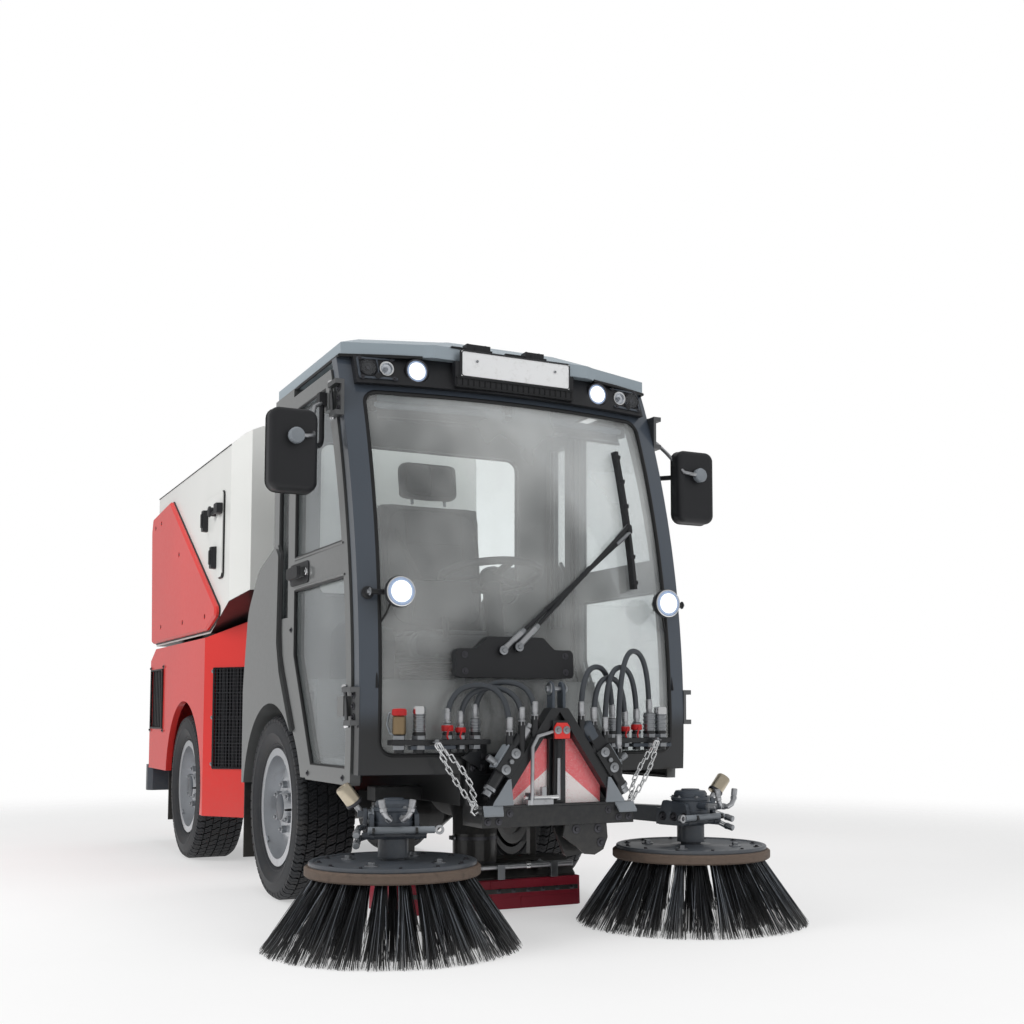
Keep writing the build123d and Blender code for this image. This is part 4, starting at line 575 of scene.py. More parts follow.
class Forge:
    """Gathers the faces of one piece; each part is put in place as it is made, in the finish then in use."""

    def __init__(self, first):
        self.points, self.faces, self.paints, self.finishes = [], [], [], []
        self.use(first)

    def use(self, name):
        if name not in self.finishes:
            self.finishes.append(name)
        self.paint = self.finishes.index(name)
        return self

    def add(self, points, faces, place=None):
        base = len(self.points)
        self.points.extend(place @ Vector(p) if place else Vector(p) for p in points)
        self.faces.extend([base + i for i in face] for face in faces)
        self.paints.extend([self.paint] * len(faces))

    def slab(self, near, far, place=None):
        """Solid between two outlines with as many corners."""
        n = len(near)
        self.add([*near, *far], [*grid_faces(2, n, True), tuple(reversed(range(n))), tuple(range(n, 2 * n))], place)

    def prism(self, outline, low, high, place=None, shrink=1.0):
        """Outline in local X and Y, carried along local Z; the far end may be shrunk."""
        cx, cy = (sum(c) / len(outline) for c in zip(*outline))
        far = [(cx + (x - cx) * shrink, cy + (y - cy) * shrink, high) for x, y in outline]
        self.slab([(x, y, low) for x, y in outline], far, place)

    def box(self, centre, size, place=None):
        (x, y, z), (a, b, c) = centre, (s / 2 for s in size)
        corners = [(x - a, y - b), (x + a, y - b), (x + a, y + b), (x - a, y + b)]
        self.prism(corners, z - c, z + c, place)

    def lathe(self, profile, place, sides=24):
        """Profile of (radius, height) pairs turned about local Z; ends on the axis are closed."""
        rings, points, faces = [], [], []
        for radius, height in profile:
            count = 1 if radius < 1e-7 else sides
            rings.append(range(len(points), len(points) + count))
            points += [(x, y, height) for x, y in circle(sides, radius)[:count]]
        for low, high in zip(rings, rings[1:]):
            for i in range(sides):
                ring = [low[i % len(low)], low[(i + 1) % len(low)], high[(i + 1) % len(high)], high[i % len(high)]]
                ring = list(dict.fromkeys(ring))
                if len(ring) > 2:
                    faces.append(ring)
        self.add(points, faces, place)

    def tube(self, path, radius, sides=TUBE_SIDES):
        """Round bar along a path, its ends closed; radius may be one number for each point."""
        path = [Vector(p) for p in path]
        radii = radius if hasattr(radius, "__len__") else [radius] * len(path)
        across = None
        points = []
        for i, p in enumerate(path):
            ahead = (path[min(i + 1, len(path) - 1)] - path[max(i - 1, 0)]).normalized()
            if across is None:
                across = ahead.orthogonal().normalized()
            across = (across - ahead * across.dot(ahead)).normalized()
            over = ahead.cross(across)
            points += [p + across * x + over * y for x, y in circle(sides, radii[i])]
        last = (len(path) - 1) * sides
        faces = grid_faces(len(path), sides, True)
        self.add(points, [*faces, tuple(reversed(range(sides))), tuple(range(last, last + sides))])

    def bolt(self, place, radius, washer=True):
        """Hexagon bolt head with its washer, standing on local Z 0."""
        if washer:
            rim, thick = radius * 1.9, radius * 0.35
            self.lathe([(0, 0), (rim, 0), (rim, radius * 0.25), (radius * 1.7, thick), (0, thick)], place, 20)
        self.prism(circle(6, radius), radius * 0.2, radius, place)
        self.prism(circle(6, radius), radius, radius * 1.2, place, 0.82)

    def bolts(self, points, axis, radius, washer=True):
        for point in points:
            self.bolt(facing(point, axis), radius, washer)

    def nut_joint(self, place, radius, height):
        """Screwed hose end: hexagon, collar and crimped sleeve along local Z."""
        self.prism(circle(6, radius * 1.25), 0, height * 0.3, place)
        profile = [(0, height * 0.3), (radius * 0.9, height * 0.3), (radius * 0.9, height * 0.38)]
        for i in range(5):
            z = height * (0.38 + 0.12 * i)
            profile += [(radius * 1.12, z), (radius * 1.12, z + height * 0.07), (radius * 1.02, z + height * 0.09)]
        self.lathe([*profile, (radius * 1.02, height), (0, height)], place, 18)

    def mesh(self, name, crease):
        """The gathered faces as a smooth mesh, sharp where it bends by more than crease degrees."""
        mesh = bpy.data.meshes.new(name)
        mesh.from_pydata(self.points, [], self.faces)
        for used in self.finishes:
            mesh.materials.append(finish(used))
        mesh.polygons.foreach_set("material_index", self.paints)
        work = bmesh.new()
        work.from_mesh(mesh)
        bmesh.ops.recalc_face_normals(work, faces=work.faces)
        work.to_mesh(mesh)
        work.free()
        mesh.polygons.foreach_set("use_smooth", [True] * len(mesh.polygons))
        mesh.set_sharp_from_angle(angle=math.radians(crease))
        return mesh

    def done(self, name, body, stands_for=(), crease=32, bevel=0.0):
        """Makes the object, rides it on its body and hides the imported nodes that it stands for."""
        made = linked(name, self.mesh(name, crease))
        if bevel:
            rim = made.modifiers.new("rounded", "BEVEL")
            rim.width, rim.segments, rim.limit_method, rim.angle_limit = bevel, BEVEL_STEPS, "ANGLE", BEVEL_ANGLE
        return settle(made, body, stands_for)


def settle(made, body, stands_for=()):
    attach(made, body)
    if stands_for:
        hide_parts(*stands_for)
    return made


class SweeperOperator:
    """What all the dressing steps share."""

    bl_options = {"REGISTER", "UNDO"}

    def execute(self, context):
        self.make(context)
        return {"FINISHED"}


# Stage

STUDIO_LAMPS = (        # name, place, aim, width, setting of its power, share of that
    ("key_lamp", (0.6, -5.6, 4.2), (-0.2, 0.0, 1.0), 4.2, "key", 1.0),
    ("fill_lamp", (6.0, 1.6, 3.4), (0.6, 0.0, 0.9), 4.0, "fill", 1.0),
    ("top_lamp", (-0.6, 0.6, 5.6), (0.0, 0.0, 0.8), 4.6, "fill", 1.3),
)
FLOOR_RADIUS, FLOOR_FADE, FLOOR_GLOW = 9.0, (3.0, 6.5), 0.45
MIRRORED_SKY = 0.5     # strength of the sky in reflections


class SWEEPER_OT_stage(SweeperOperator, bpy.types.Operator):
    """Camera at the viewing place, pale floor and soft lamps"""

    bl_idname = "sweeper.stage"
    bl_label = "Stage"

    def make(self, context):
        scene, s = context.scene, context.scene.sweeper_stage
        scene.view_settings.view_transform = "Standard"
        camera = bpy.data.cameras.new("viewing_camera")
        camera.sensor_width, camera.lens = 36.0, s.lens
        camera.shift_x, camera.shift_y = s.shift
        camera.clip_end = 200.0
        eye = linked("viewing_camera", camera)
        eye.location = s.eye
        ahead = Vector((-math.cos(s.heading), math.sin(s.heading), math.tan(s.tilt)))
        eye.rotation_euler = ahead.to_track_quat("-Z", "Y").to_euler()
        scene.camera = eye
        for name, place, aim, width, setting, share in STUDIO_LAMPS:
            self.lamp(name, place, aim, width, getattr(s, setting) * share)
        self.sky(scene, s.sky)
        self.floor()

    def lamp(self, name, place, aim, width, power):
        data = bpy.data.lights.new(name, "AREA")
        data.shape, data.size, data.energy = "DISK", width, power
        made = linked(name, data)
        made.location = place
        made.rotation_euler = (Vector(aim) - Vector(place)).to_track_quat("-Z", "Y").to_euler()
        made.visible_glossy = False

    def seen(self, f, *kinds):
        """1 for rays of these kinds that reach the backdrop."""
        path = f.once("path", lambda: f.node("ShaderNodeLightPath"))
        return f.sum("MINIMUM", sum(f.out(path, f"Is {kind} Ray") for kind in kinds), 1.0)

    def sky(self, scene, strength):
        world = bpy.data.worlds.new("studio_sky")
        world.use_nodes = True
        scene.world = world
        f = Finish.__new__(Finish)
        f.tree, f.kept = world.node_tree, {}
        f.tree.nodes.clear()
        straight, mirrored = self.seen(f, "Camera", "Transmission"), self.seen(f, "Glossy")
        power = straight * (1.0 - strength) + mirrored * (MIRRORED_SKY - strength) + strength
        light = f.out(f.node("ShaderNodeBackground", None, {"Color": (1.0, 1.0, 1.0), "Strength": power}))
        f.node("ShaderNodeOutputWorld", None, {"Surface": light})

    def floor(self):
        f = Finish("pale_floor")
        x, y = f.axis(0), f.axis(1)
        far = f.step(f.sum("SQRT", x * x + y * y, 0.0), *FLOOR_FADE)
        mottle = f.noise(2.0, 4.0)
        base = f.blend(mottle, (0.86, 0.86, 0.86), (0.9, 0.9, 0.9))
        matt = f.out(f.node("ShaderNodeBsdfDiffuse", None, {"Color": base}))
        glow = f.out(f.node("ShaderNodeEmission", None, {"Color": (1, 1, 1), "Strength": 1.0}))
        clear = f.out(f.node("ShaderNodeBsdfTransparent"))
        lit = f.out(f.node("ShaderNodeMixShader", None,
                           {0: self.seen(f, "Camera", "Transmission", "Glossy") * FLOOR_GLOW, 1: matt, 2: glow}))
        f.end(f.out(f.node("ShaderNodeMixShader", None, {0: far, 1: lit, 2: clear})))
        mesh = bpy.data.meshes.new("pale_floor")
        mesh.from_pydata([(x, y, 0.0) for x, y in circle(64, FLOOR_RADIUS)], [], [tuple(range(64))])
        mesh.materials.append(f.material)
        made = linked("pale_floor", mesh)


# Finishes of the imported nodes


class SWEEPER_OT_finishes(SweeperOperator, bpy.types.Operator):
    """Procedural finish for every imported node, by its material slot"""

    bl_idname = "sweeper.finishes"
    bl_label = "Finishes"

    # nodes that differ from the rest of their slot
    own = {"cab_frame": "slate_paint", "door_hinges": "worn_steel", "windscreen": "screen_glass"}

    def make(self, context):
        for name, node in NODES.items():
            for index, slot in enumerate(node.data.materials):
                node.data.materials[index] = finish(self.own.get(name, slot.name))


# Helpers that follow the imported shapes

CAB_CURVE = ((1063, 480), (1038, 1100), (800, 1900))    # middle of the cab's front: ahead, up
CAB_PLAN_RADIUS = 2560


def screen_ahead(out, up):
    """How far ahead the cab's curved front stands at this offset and height, in millimetres."""
    (x0, z0), (x1, z1), (x2, z2) = CAB_CURVE
    d = 2 * (x0 * (z1 - z2) + x1 * (z2 - z0) + x2 * (z0 - z1))
    s0, s1, s2 = x0 * x0 + z0 * z0, x1 * x1 + z1 * z1, x2 * x2 + z2 * z2
    cx = (s0 * (z1 - z2) + s1 * (z2 - z0) + s2 * (z0 - z1)) / d
    cz = (s0 * (x2 - x1) + s1 * (x0 - x2) + s2 * (x1 - x0)) / d
    middle = cx + math.sqrt((x0 - cx) ** 2 + (z0 - cz) ** 2 - (up - cz) ** 2)
    centre = CAB_CURVE[0][0] - CAB_PLAN_RADIUS
    return centre + math.sqrt((middle - centre) ** 2 - out * out)


def on_screen(out, up, proud=0.0):
    return spot(screen_ahead(out, up) + proud, out, up)


def rims_of(node, direction, turn=0.9):
    """Closed loops round the faces of a node that look along direction, longest first."""
    mesh, way = NODES[node].data, Vector(direction).normalized()
    places, keys, edges = {}, [], {}
    for v in mesh.vertices:
        key = tuple(round(c, 5) for c in v.co)
        keys.append(key)
        places[key] = v.co.copy()
    for p in mesh.polygons:
        if p.normal.dot(way) > turn:
            ring = [keys[i] for i in p.vertices]
            for a, b in zip(ring, ring[1:] + ring[:1]):
                if a != b:
                    if edges.pop((b, a), None) is None:
                        edges[a, b] = True
    follow = {}
    for a, b in edges:
        follow.setdefault(a, []).append(b)
    loops = []
    while follow:
        start = min(follow)
        loop, here = [], start
        while here in follow:
            loop.append(places[here])
            onward = follow[here].pop()
            if not follow[here]:
                del follow[here]
            here = onward
        if len(loop) > 2:
            loops.append(loop)
    return sorted(loops, key=lambda l: -sum((a - b).length for a, b in zip(l, l[1:])))


def closed_bead(forge, loop, radius, shift=(0, 0, 0)):
    """Rubber bead along a closed loop, its corners kept sharp enough to follow the opening."""
    shift = Vector(shift)
    path = [p + shift for p in loop]
    forge.tube([*path, path[0], path[0] + (path[1] - path[0]) * 0.02], radius)


def round_plate(width, height, radius, steps=5):
    """Outline of a plate with round corners, centred."""
    points = []
    for cx, cy, start in ((1, 1, 0), (-1, 1, 90), (-1, -1, 180), (1, -1, 270)):
        for i in range(steps + 1):
            turn = math.radians(start + 90 * i / steps)
            points.append((cx * (width / 2 - radius) + radius * math.cos(turn),
                           cy * (height / 2 - radius) + radius * math.sin(turn)))
    return points


# Hoses

HOSE_RUNS = {       # first end, second end (ahead, out, up), height of the loop
    "left": (
        ((1098, 300, 660), (1188, 130, 672), 815), ((1098, 345, 668), (1188, 172, 640), 850),
        ((1098, 250, 682), (1188, 84, 690), 850), ((1098, 395, 700), (1188, 222, 584), 905),
    ),
    "right": (
        ((1098, 300, 660), (1188, 130, 672), 778), ((1098, 345, 668), (1188, 172, 640), 786),
        ((1098, 250, 682), (1188, 84, 690), 796),
    ),
}


class SWEEPER_OT_hoses(SweeperOperator, bpy.types.Operator):
    """Stiff hydraulic hoses that stand in loops between the couplings and the valves, with crimped ends"""

    bl_idname = "sweeper.hoses"
    bl_label = "Hoses"

    def make(self, context):
        for word, side in SIDES:
            ends = Forge("drawn_steel")
            for number, (start, end, top) in enumerate(HOSE_RUNS[word], 1):
                p, q = spot(start[0], side * start[1], start[2]), spot(end[0], side * end[1], end[2])
                route = [p, Vector((p.x, p.y, top / 1000)), Vector((q.x, q.y, top / 1000)), q]
                made, run = self.hose(f"hose_{word}_{number}", route)
                settle(made, "front", ("hoses",) if (word, number) == ("right", 1) else ())
                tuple(p)
                for foot in (p, q):
                    ends.nut_joint(facing(foot - Vector((0, 0, 0.012)), UP), sizes().hose * 0.56, 0.058)
            ends.done(f"hose_ends_{word}", "front", bevel=0.0006)

    def hose(self, name, route):
        """Curve through the route's points, and its length read from the plain line."""
        curve = bpy.data.curves.new(name, "CURVE")
        curve.dimensions = "3D"
        spline = curve.splines.new("NURBS")
        spline.points.add(len(route) - 1)
        for point, place in zip(spline.points, route):
            point.co = (*place, 1.0)
        spline.order_u = 3
        spline.use_endpoint_u = True
        spline.resolution_u = 16
        made = linked(name, curve)
        line = bpy.data.meshes.new_from_object(made)
        points = [v.co.copy() for v in line.vertices]
        bpy.data.meshes.remove(line)
        curve.bevel_depth, curve.bevel_resolution, curve.use_fill_caps = sizes().hose / 2, 4, True
        curve.materials.append(finish("hose_cover"))
        return made, sum((a - b).length for a, b in zip(points, points[1:]))


# Brooms

BROOM_TUFTS = 26
TUFT_ROWS = ((0.238, 0.392, 0.0), (0.17, 0.268, 0.5))     # root radius, tip radius, phase
BROOM_BOLTS = (     # finish, count, radius of their circle, angle of the first, radius
    ("fittings", 4, 0.15, 45, 0.0105), ("black_bolt", 12, 0.222, 15, 0.0055),
)
RING_RADIUS, RING_LOW, RING_HIGH, PLATE_HIGH = 0.265, 0.214, 0.248, 0.258


class SWEEPER_OT_brooms(SweeperOperator, bpy.types.Operator):
    """Rotary brooms: bolted plate, pressed ring and tufts of separate bristles"""

    bl_idname = "sweeper.brooms"
    bl_label = "Brooms"

    def make(self, context):
        for word, side in SIDES:
            x, y, _ = JOINTS[f"broom_spin_{word}"]["pos_m"]
            centre = Matrix.Translation((x, y, 0))
            self.head(f"broom_head_{word}", f"broom_{word}", centre)
            self.bristles(f"broom_bristles_{word}", f"broom_{word}", centre, 11 + side)

    def head(self, name, node, centre):
        f = Forge("broom_ring")
        r = RING_RADIUS
        f.lathe([(0.118, RING_LOW), (r - 0.006, RING_LOW), (r, RING_LOW + 0.005), (r, RING_HIGH - 0.008),
                 (r - 0.006, RING_HIGH - 0.003), (0.118, RING_HIGH - 0.003), (0.118, RING_LOW)], centre, 96)
        f.use("dark_grey")
        p = r - 0.012
        f.lathe([(0, RING_HIGH - 0.006), (p - 0.004, RING_HIGH - 0.006), (p, RING_HIGH), (p, PLATE_HIGH - 0.003),
                 (p - 0.003, PLATE_HIGH), (p - 0.014, PLATE_HIGH), (p - 0.018, PLATE_HIGH - 0.004),
                 (0.075, PLATE_HIGH - 0.004), (0.068, PLATE_HIGH), (0.034, PLATE_HIGH), (0.034, PLATE_HIGH + 0.0085),
                 (0, PLATE_HIGH + 0.0085)], centre, 96)
        for used, count, reach, start, radius in BROOM_BOLTS:
            for x, y in circle(count, reach, start):
                f.use(used).bolt(centre @ Matrix.Translation((x, y, PLATE_HIGH - 0.004)), radius)
        f.done(name, node, (node,), bevel=0.0008)

    def bristles(self, name, node, centre, seed):
        rng = random.Random(seed)
        points, faces, tints = [], [], []
        share = math.tau / BROOM_TUFTS
        for root, tip, phase in TUFT_ROWS:
            for tuft in range(BROOM_TUFTS):
                lean, pale = rng.uniform(-0.06, 0.06), rng.choice((1.2, 1.8, 3.5, 6.0))
                for _ in range(sizes().strands):
                    a = (tuft + phase) * share
                    u, v, w = rng.uniform(-1, 1), rng.uniform(-1, 1), rng.random()
                    start = self.polar(root - 0.012 + 0.012 * v, a + u * share * 0.2, RING_LOW + 0.004)
                    reach = tip - 0.03 * w * w - 0.01 * (1 - v)
                    end_turn = a + (u * 0.42 + rng.uniform(-0.12, 0.12) + lean) * share
                    end = self.polar(reach, end_turn, 0.001 + 0.016 * w * rng.random())
                    knee = self.polar(root + (reach - root) * 0.56, a + (end_turn - a) * 0.55,
                                      0.092 + rng.uniform(-0.012, 0.012))
                    # share of painted highlight that this strand gets
                    tint = rng.random() ** pale
                    self.strand(points, faces, (start, knee, end), rng.uniform(0.0011, 0.0017))
                    tints.extend([tint] * (len(points) - len(tints)))
        mesh = bpy.data.meshes.new(name)
        mesh.from_pydata([centre @ p for p in points], [], faces)
        mesh.materials.append(finish("bristle"))
        mesh.attributes.new("tint", "FLOAT", "POINT").data.foreach_set("value", tints)
        mesh.polygons.foreach_set("use_smooth", [True] * len(faces))
        settle(linked(name, mesh), node)

    def polar(self, radius, turn, up):
        return Vector((radius * math.cos(turn), radius * math.sin(turn), up))

    def strand(self, points, faces, route, thick):
        """Three-sided bristle along a gentle bow, thinner at its tip."""
        a, b, c = route
        base, rings = len(points), 5
        across = (c - a).orthogonal().normalized()
        over = (c - a).normalized().cross(across)
        for i in range(rings):
            t = i / (rings - 1)
            p = a * (1 - t) ** 2 + b * (2 * t * (1 - t)) + c * t ** 2
            size = thick * (1 - 0.45 * t)
            points += [p + across * x + over * y for x, y in circle(3, size)]
        for i in range(rings - 1):
            low = base + 3 * i
            faces.extend((low + k, low + (k + 1) % 3, low + 3 + (k + 1) % 3, low + 3 + k) for k in range(3))
        top = base + 3 * (rings - 1)
        faces.append((top, top + 1, top + 2))


# Wheels

TYRE_FLANK = (      # radius, offset from the middle
    (0.2065, 0.0815), (0.2245, 0.082), (0.231, 0.088), (0.236, 0.0945), (0.2385, 0.095), (0.241, 0.0935),
    (0.247, 0.0985), (0.26, 0.1065), (0.276, 0.1115), (0.2775, 0.1128), (0.2805, 0.1128), (0.282, 0.1118),
    (0.296, 0.111), (0.31, 0.1082), (0.322, 0.1045), (0.33, 0.099), (0.3345, 0.089), (0.3352, 0.06), (0.3355, 0.0),
)
TREAD_RADIUS, SHOULDER, SHOULDER_FALL = 0.345, 0.0885, 0.8     # the crown falls off beyond the shoulder's offset
BLOCK_SHARE, SIPE_SHARE = 0.84, 0.045       # of a pitch
TREAD_COLUMNS = (       # inner and outer offset, shift round the tyre and slant, in pitches, slats
    (0.074, 0.1065, 0.0, 0.1, 2), (0.04, 0.07, 0.42, 0.34, 3), (0.003, 0.036, 0.1, 0.46, 3),
)


class SWEEPER_OT_tyres(SweeperOperator, bpy.types.Operator):
    """Winter tyres: ribbed flanks, shoulder lugs and siped tread blocks"""

    bl_idname = "sweeper.tyres"
    bl_label = "Tyres"

    def make(self, context):
        mesh = None
        for word, side in WHEELS:
            mesh = mesh or self.tyre("tyre_" + word)
            made = linked("winter_tyre_" + word, mesh)
            made.location = JOINTS["spin_" + word]["pos_m"]
            made.rotation_euler = (0, 0, 0) if side < 0 else (0, 0, math.pi)
            settle(made, "wheel_" + word, ("tyre_" + word,))

    def tyre(self, name):
        f = Forge("tyre_rubber")
        across = facing((0, 0, 0), (0, 1, 0))
        flank = [(r, -h) for r, h in TYRE_FLANK]
        f.lathe([*flank, *[(r, h) for r, h in reversed(TYRE_FLANK[:-1])], flank[0]], across, 120)
        pitch = math.tau / sizes().tread_pitches
        for i in range(sizes().tread_pitches):
            for low, high, shift, slant, slats in TREAD_COLUMNS:
                for hand in (-1, 1):
                    start = (i + shift + (0.5 if hand > 0 else 0.0)) * pitch
                    for s in range(slats):
                        near = start + pitch * BLOCK_SHARE * s / slats
                        self.slat(f, hand, low, high, near, pitch * (BLOCK_SHARE / slats - SIPE_SHARE),
                                  pitch * slant * hand)
        return f.mesh(name, 38)

    def crown(self, offset):
        """Radius over the tread at this offset from the middle."""
        return TREAD_RADIUS - max(0.0, abs(offset) - SHOULDER) * SHOULDER_FALL

    def slat(self, f, hand, low, high, start, wide, slant):
        """One slat of a tread block, its long edges zig-zag like the sipe between two slats."""
        steps = 3
        zig = wide * 0.22
        near, far = [], []
        for i in range(steps + 1):
            share = i / steps
            offset = low + (high - low) * share
            bend = zig if i % 2 else -zig
            near.append((offset, start + slant * share + bend))
            far.append((offset, start + wide + slant * share + bend))
        ring = [*near, *reversed(far)]
        depth = sizes().tread_depth
        points = [self.turned(o * hand, a, self.crown(o) - depth - 0.003) for o, a in ring]
        points += [self.turned(o * hand, a, self.crown(o)) for o, a in ring]
        n = len(ring)
        tops = [(n + i, n + i + 1, 2 * n - 2 - i, 2 * n - 1 - i) for i in range(steps)]
        f.add(points, [*grid_faces(2, n, True), *tops])

    def turned(self, offset, turn, radius):
        return Vector((radius * math.cos(turn), offset, radius * math.sin(turn)))


class SWEEPER_OT_wheels(SweeperOperator, bpy.types.Operator):
    """Wheel nuts, hub cap, valve and balance weights"""

    bl_idname = "sweeper.wheels"
    bl_label = "Wheel fittings"

    def make(self, context):
        for word, side in WHEELS:
            middle, out = Vector(JOINTS["spin_" + word]["pos_m"]), Vector((0, side, 0))
            face = facing(middle + out * 0.052, out)
            f = Forge("fittings")
            for x, y in circle(6, 0.084, 30):
                nut = face @ Matrix.Translation((x, y, 0))
                f.prism(circle(6, 0.0155), 0.004, 0.021, nut)
                f.prism(circle(6, 0.0155), 0.021, 0.0235, nut, 0.8)
                f.lathe([(0, 0.023), (0.007, 0.023), (0.007, 0.029), (0.005, 0.031), (0, 0.031)], nut, 12)
            f.use("dark_grey").lathe([(0.05, 0.024), (0.05, 0.0275), (0.046, 0.03), (0.03, 0.0325), (0, 0.0335)],
                                     face, 32)
            f.use("rubber").tube(carried(face, (0.165, 0, 0.022), (0.172, 0, 0.048)), 0.005)
            f.use("black_bolt").tube(carried(face, (0.172, 0, 0.048), (0.1745, 0, 0.058)), 0.0042)
            for turn in (0.9, 1.05, 3.9):
                weight = [face @ Vector((0.1905 * math.cos(turn + d), 0.1905 * math.sin(turn + d), 0.034))
                          for d in (-0.06, 0, 0.06)]
                f.use("grey_cap").tube(weight, 0.0048)
            f.done("wheel_fittings_" + word, "wheel_" + word, bevel=0.0007)
            f = Forge("frame_steel")
            f.lathe([(0.139, 0.0), (0.18, 0.0), (0.184, 0.004), (0.184, 0.016), (0.18, 0.018), (0.139, 0.018),
                     (0.139, 0.0)], facing(middle - out * 0.086, out), 64)
            f.done("brake_shield_" + word, word.split("_")[0], bevel=0.0007)


# Cab

HINGE_LINE = ((934, 720), (748, 1740))      # lower and upper hinge: ahead, up
HINGE_OUT = 622
MIRROR = (812, 772, 1545)
MIRROR_ARM = (
    (868, 772, 1585), (864, 738, 1586), (846, 712, 1594), (806, 702, 1632), (764, 690, 1676), (724, 672, 1718),
    (718, 648, 1734),
)
ROOF_CLIPS = (((-235, -82), (-180, -90)), ((-31, 129), (45, 118)))      # span of the pad, span of the clip
FENDER_SEAL = ((52, 1330), (92, 1290), (80, 1120), (78, 985), (92, 905), (122, 850), (270, 634))


class SWEEPER_OT_glazing(SweeperOperator, bpy.types.Operator):
    """Rubber beads round every pane, and the dark seals of doors and mudguards"""

    bl_idname = "sweeper.glazing"
    bl_label = "Window seals"

    def make(self, context):
        f = Forge("seal")
        closed_bead(f, rims_of("windscreen", AHEAD, 0.4)[0], sizes().seal * 0.62, (0.003, 0, 0))
        for loop in rims_of("cab_glass", BACK):
            closed_bead(f, loop, sizes().seal * 0.5, (-0.006, 0, 0))
        for side in (-1, 1):
            for loop in rims_of("cab_glass", (0, side, 0)):
                closed_bead(f, loop, sizes().seal * 0.5, (0, side * 0.006, 0))
            self.fender_band(f, side)
        f.done("cab_seals", "front", crease=50)
        for word, side in SIDES:
            f = Forge("seal")
            for loop in rims_of("door_glass_" + word, (0, side, 0)):
                closed_bead(f, loop, sizes().seal * 0.55, (0, side * 0.007, 0))
            edge = rims_of("door_" + word, (0, -side, 0))[0]
            closed_bead(f, [self.drawn_in(p, edge) for p in edge], 0.006, (0, -side * 0.001, 0))
            f.done("door_seals_" + word, "door_" + word, crease=50)

    def drawn_in(self, point, loop):
        middle = sum(loop, Vector()) / len(loop)
        return point + (middle - point).normalized() * 0.012

    def fender_band(self, f, side):
        """Wide rubber lip between mudguard and cab side."""
        near = upright(FENDER_SEAL)
        far = [(x + 0.026, z + (0.004 if i < 2 else 0.01)) for i, (x, z) in enumerate(near)]
        low, high = 0.6003, 0.6085
        for i in range(len(near) - 1):
            (ax, az), (bx, bz), (cx, cz), (dx, dz) = near[i], near[i + 1], far[i + 1], far[i]
            mid = [((ax + dx) / 2, (az + dz) / 2), ((bx + cx) / 2, (bz + cz) / 2)]
            points = [(x, side * low, z) for x, z in ((ax, az), (bx, bz), (cx, cz), (dx, dz))]
            points += [(x, side * high, z) for x, z in mid]
            f.add(points, [(0, 1, 5, 4), (4, 5, 2, 3), (3, 2, 1, 0), (0, 4, 3), (1, 2, 5)])


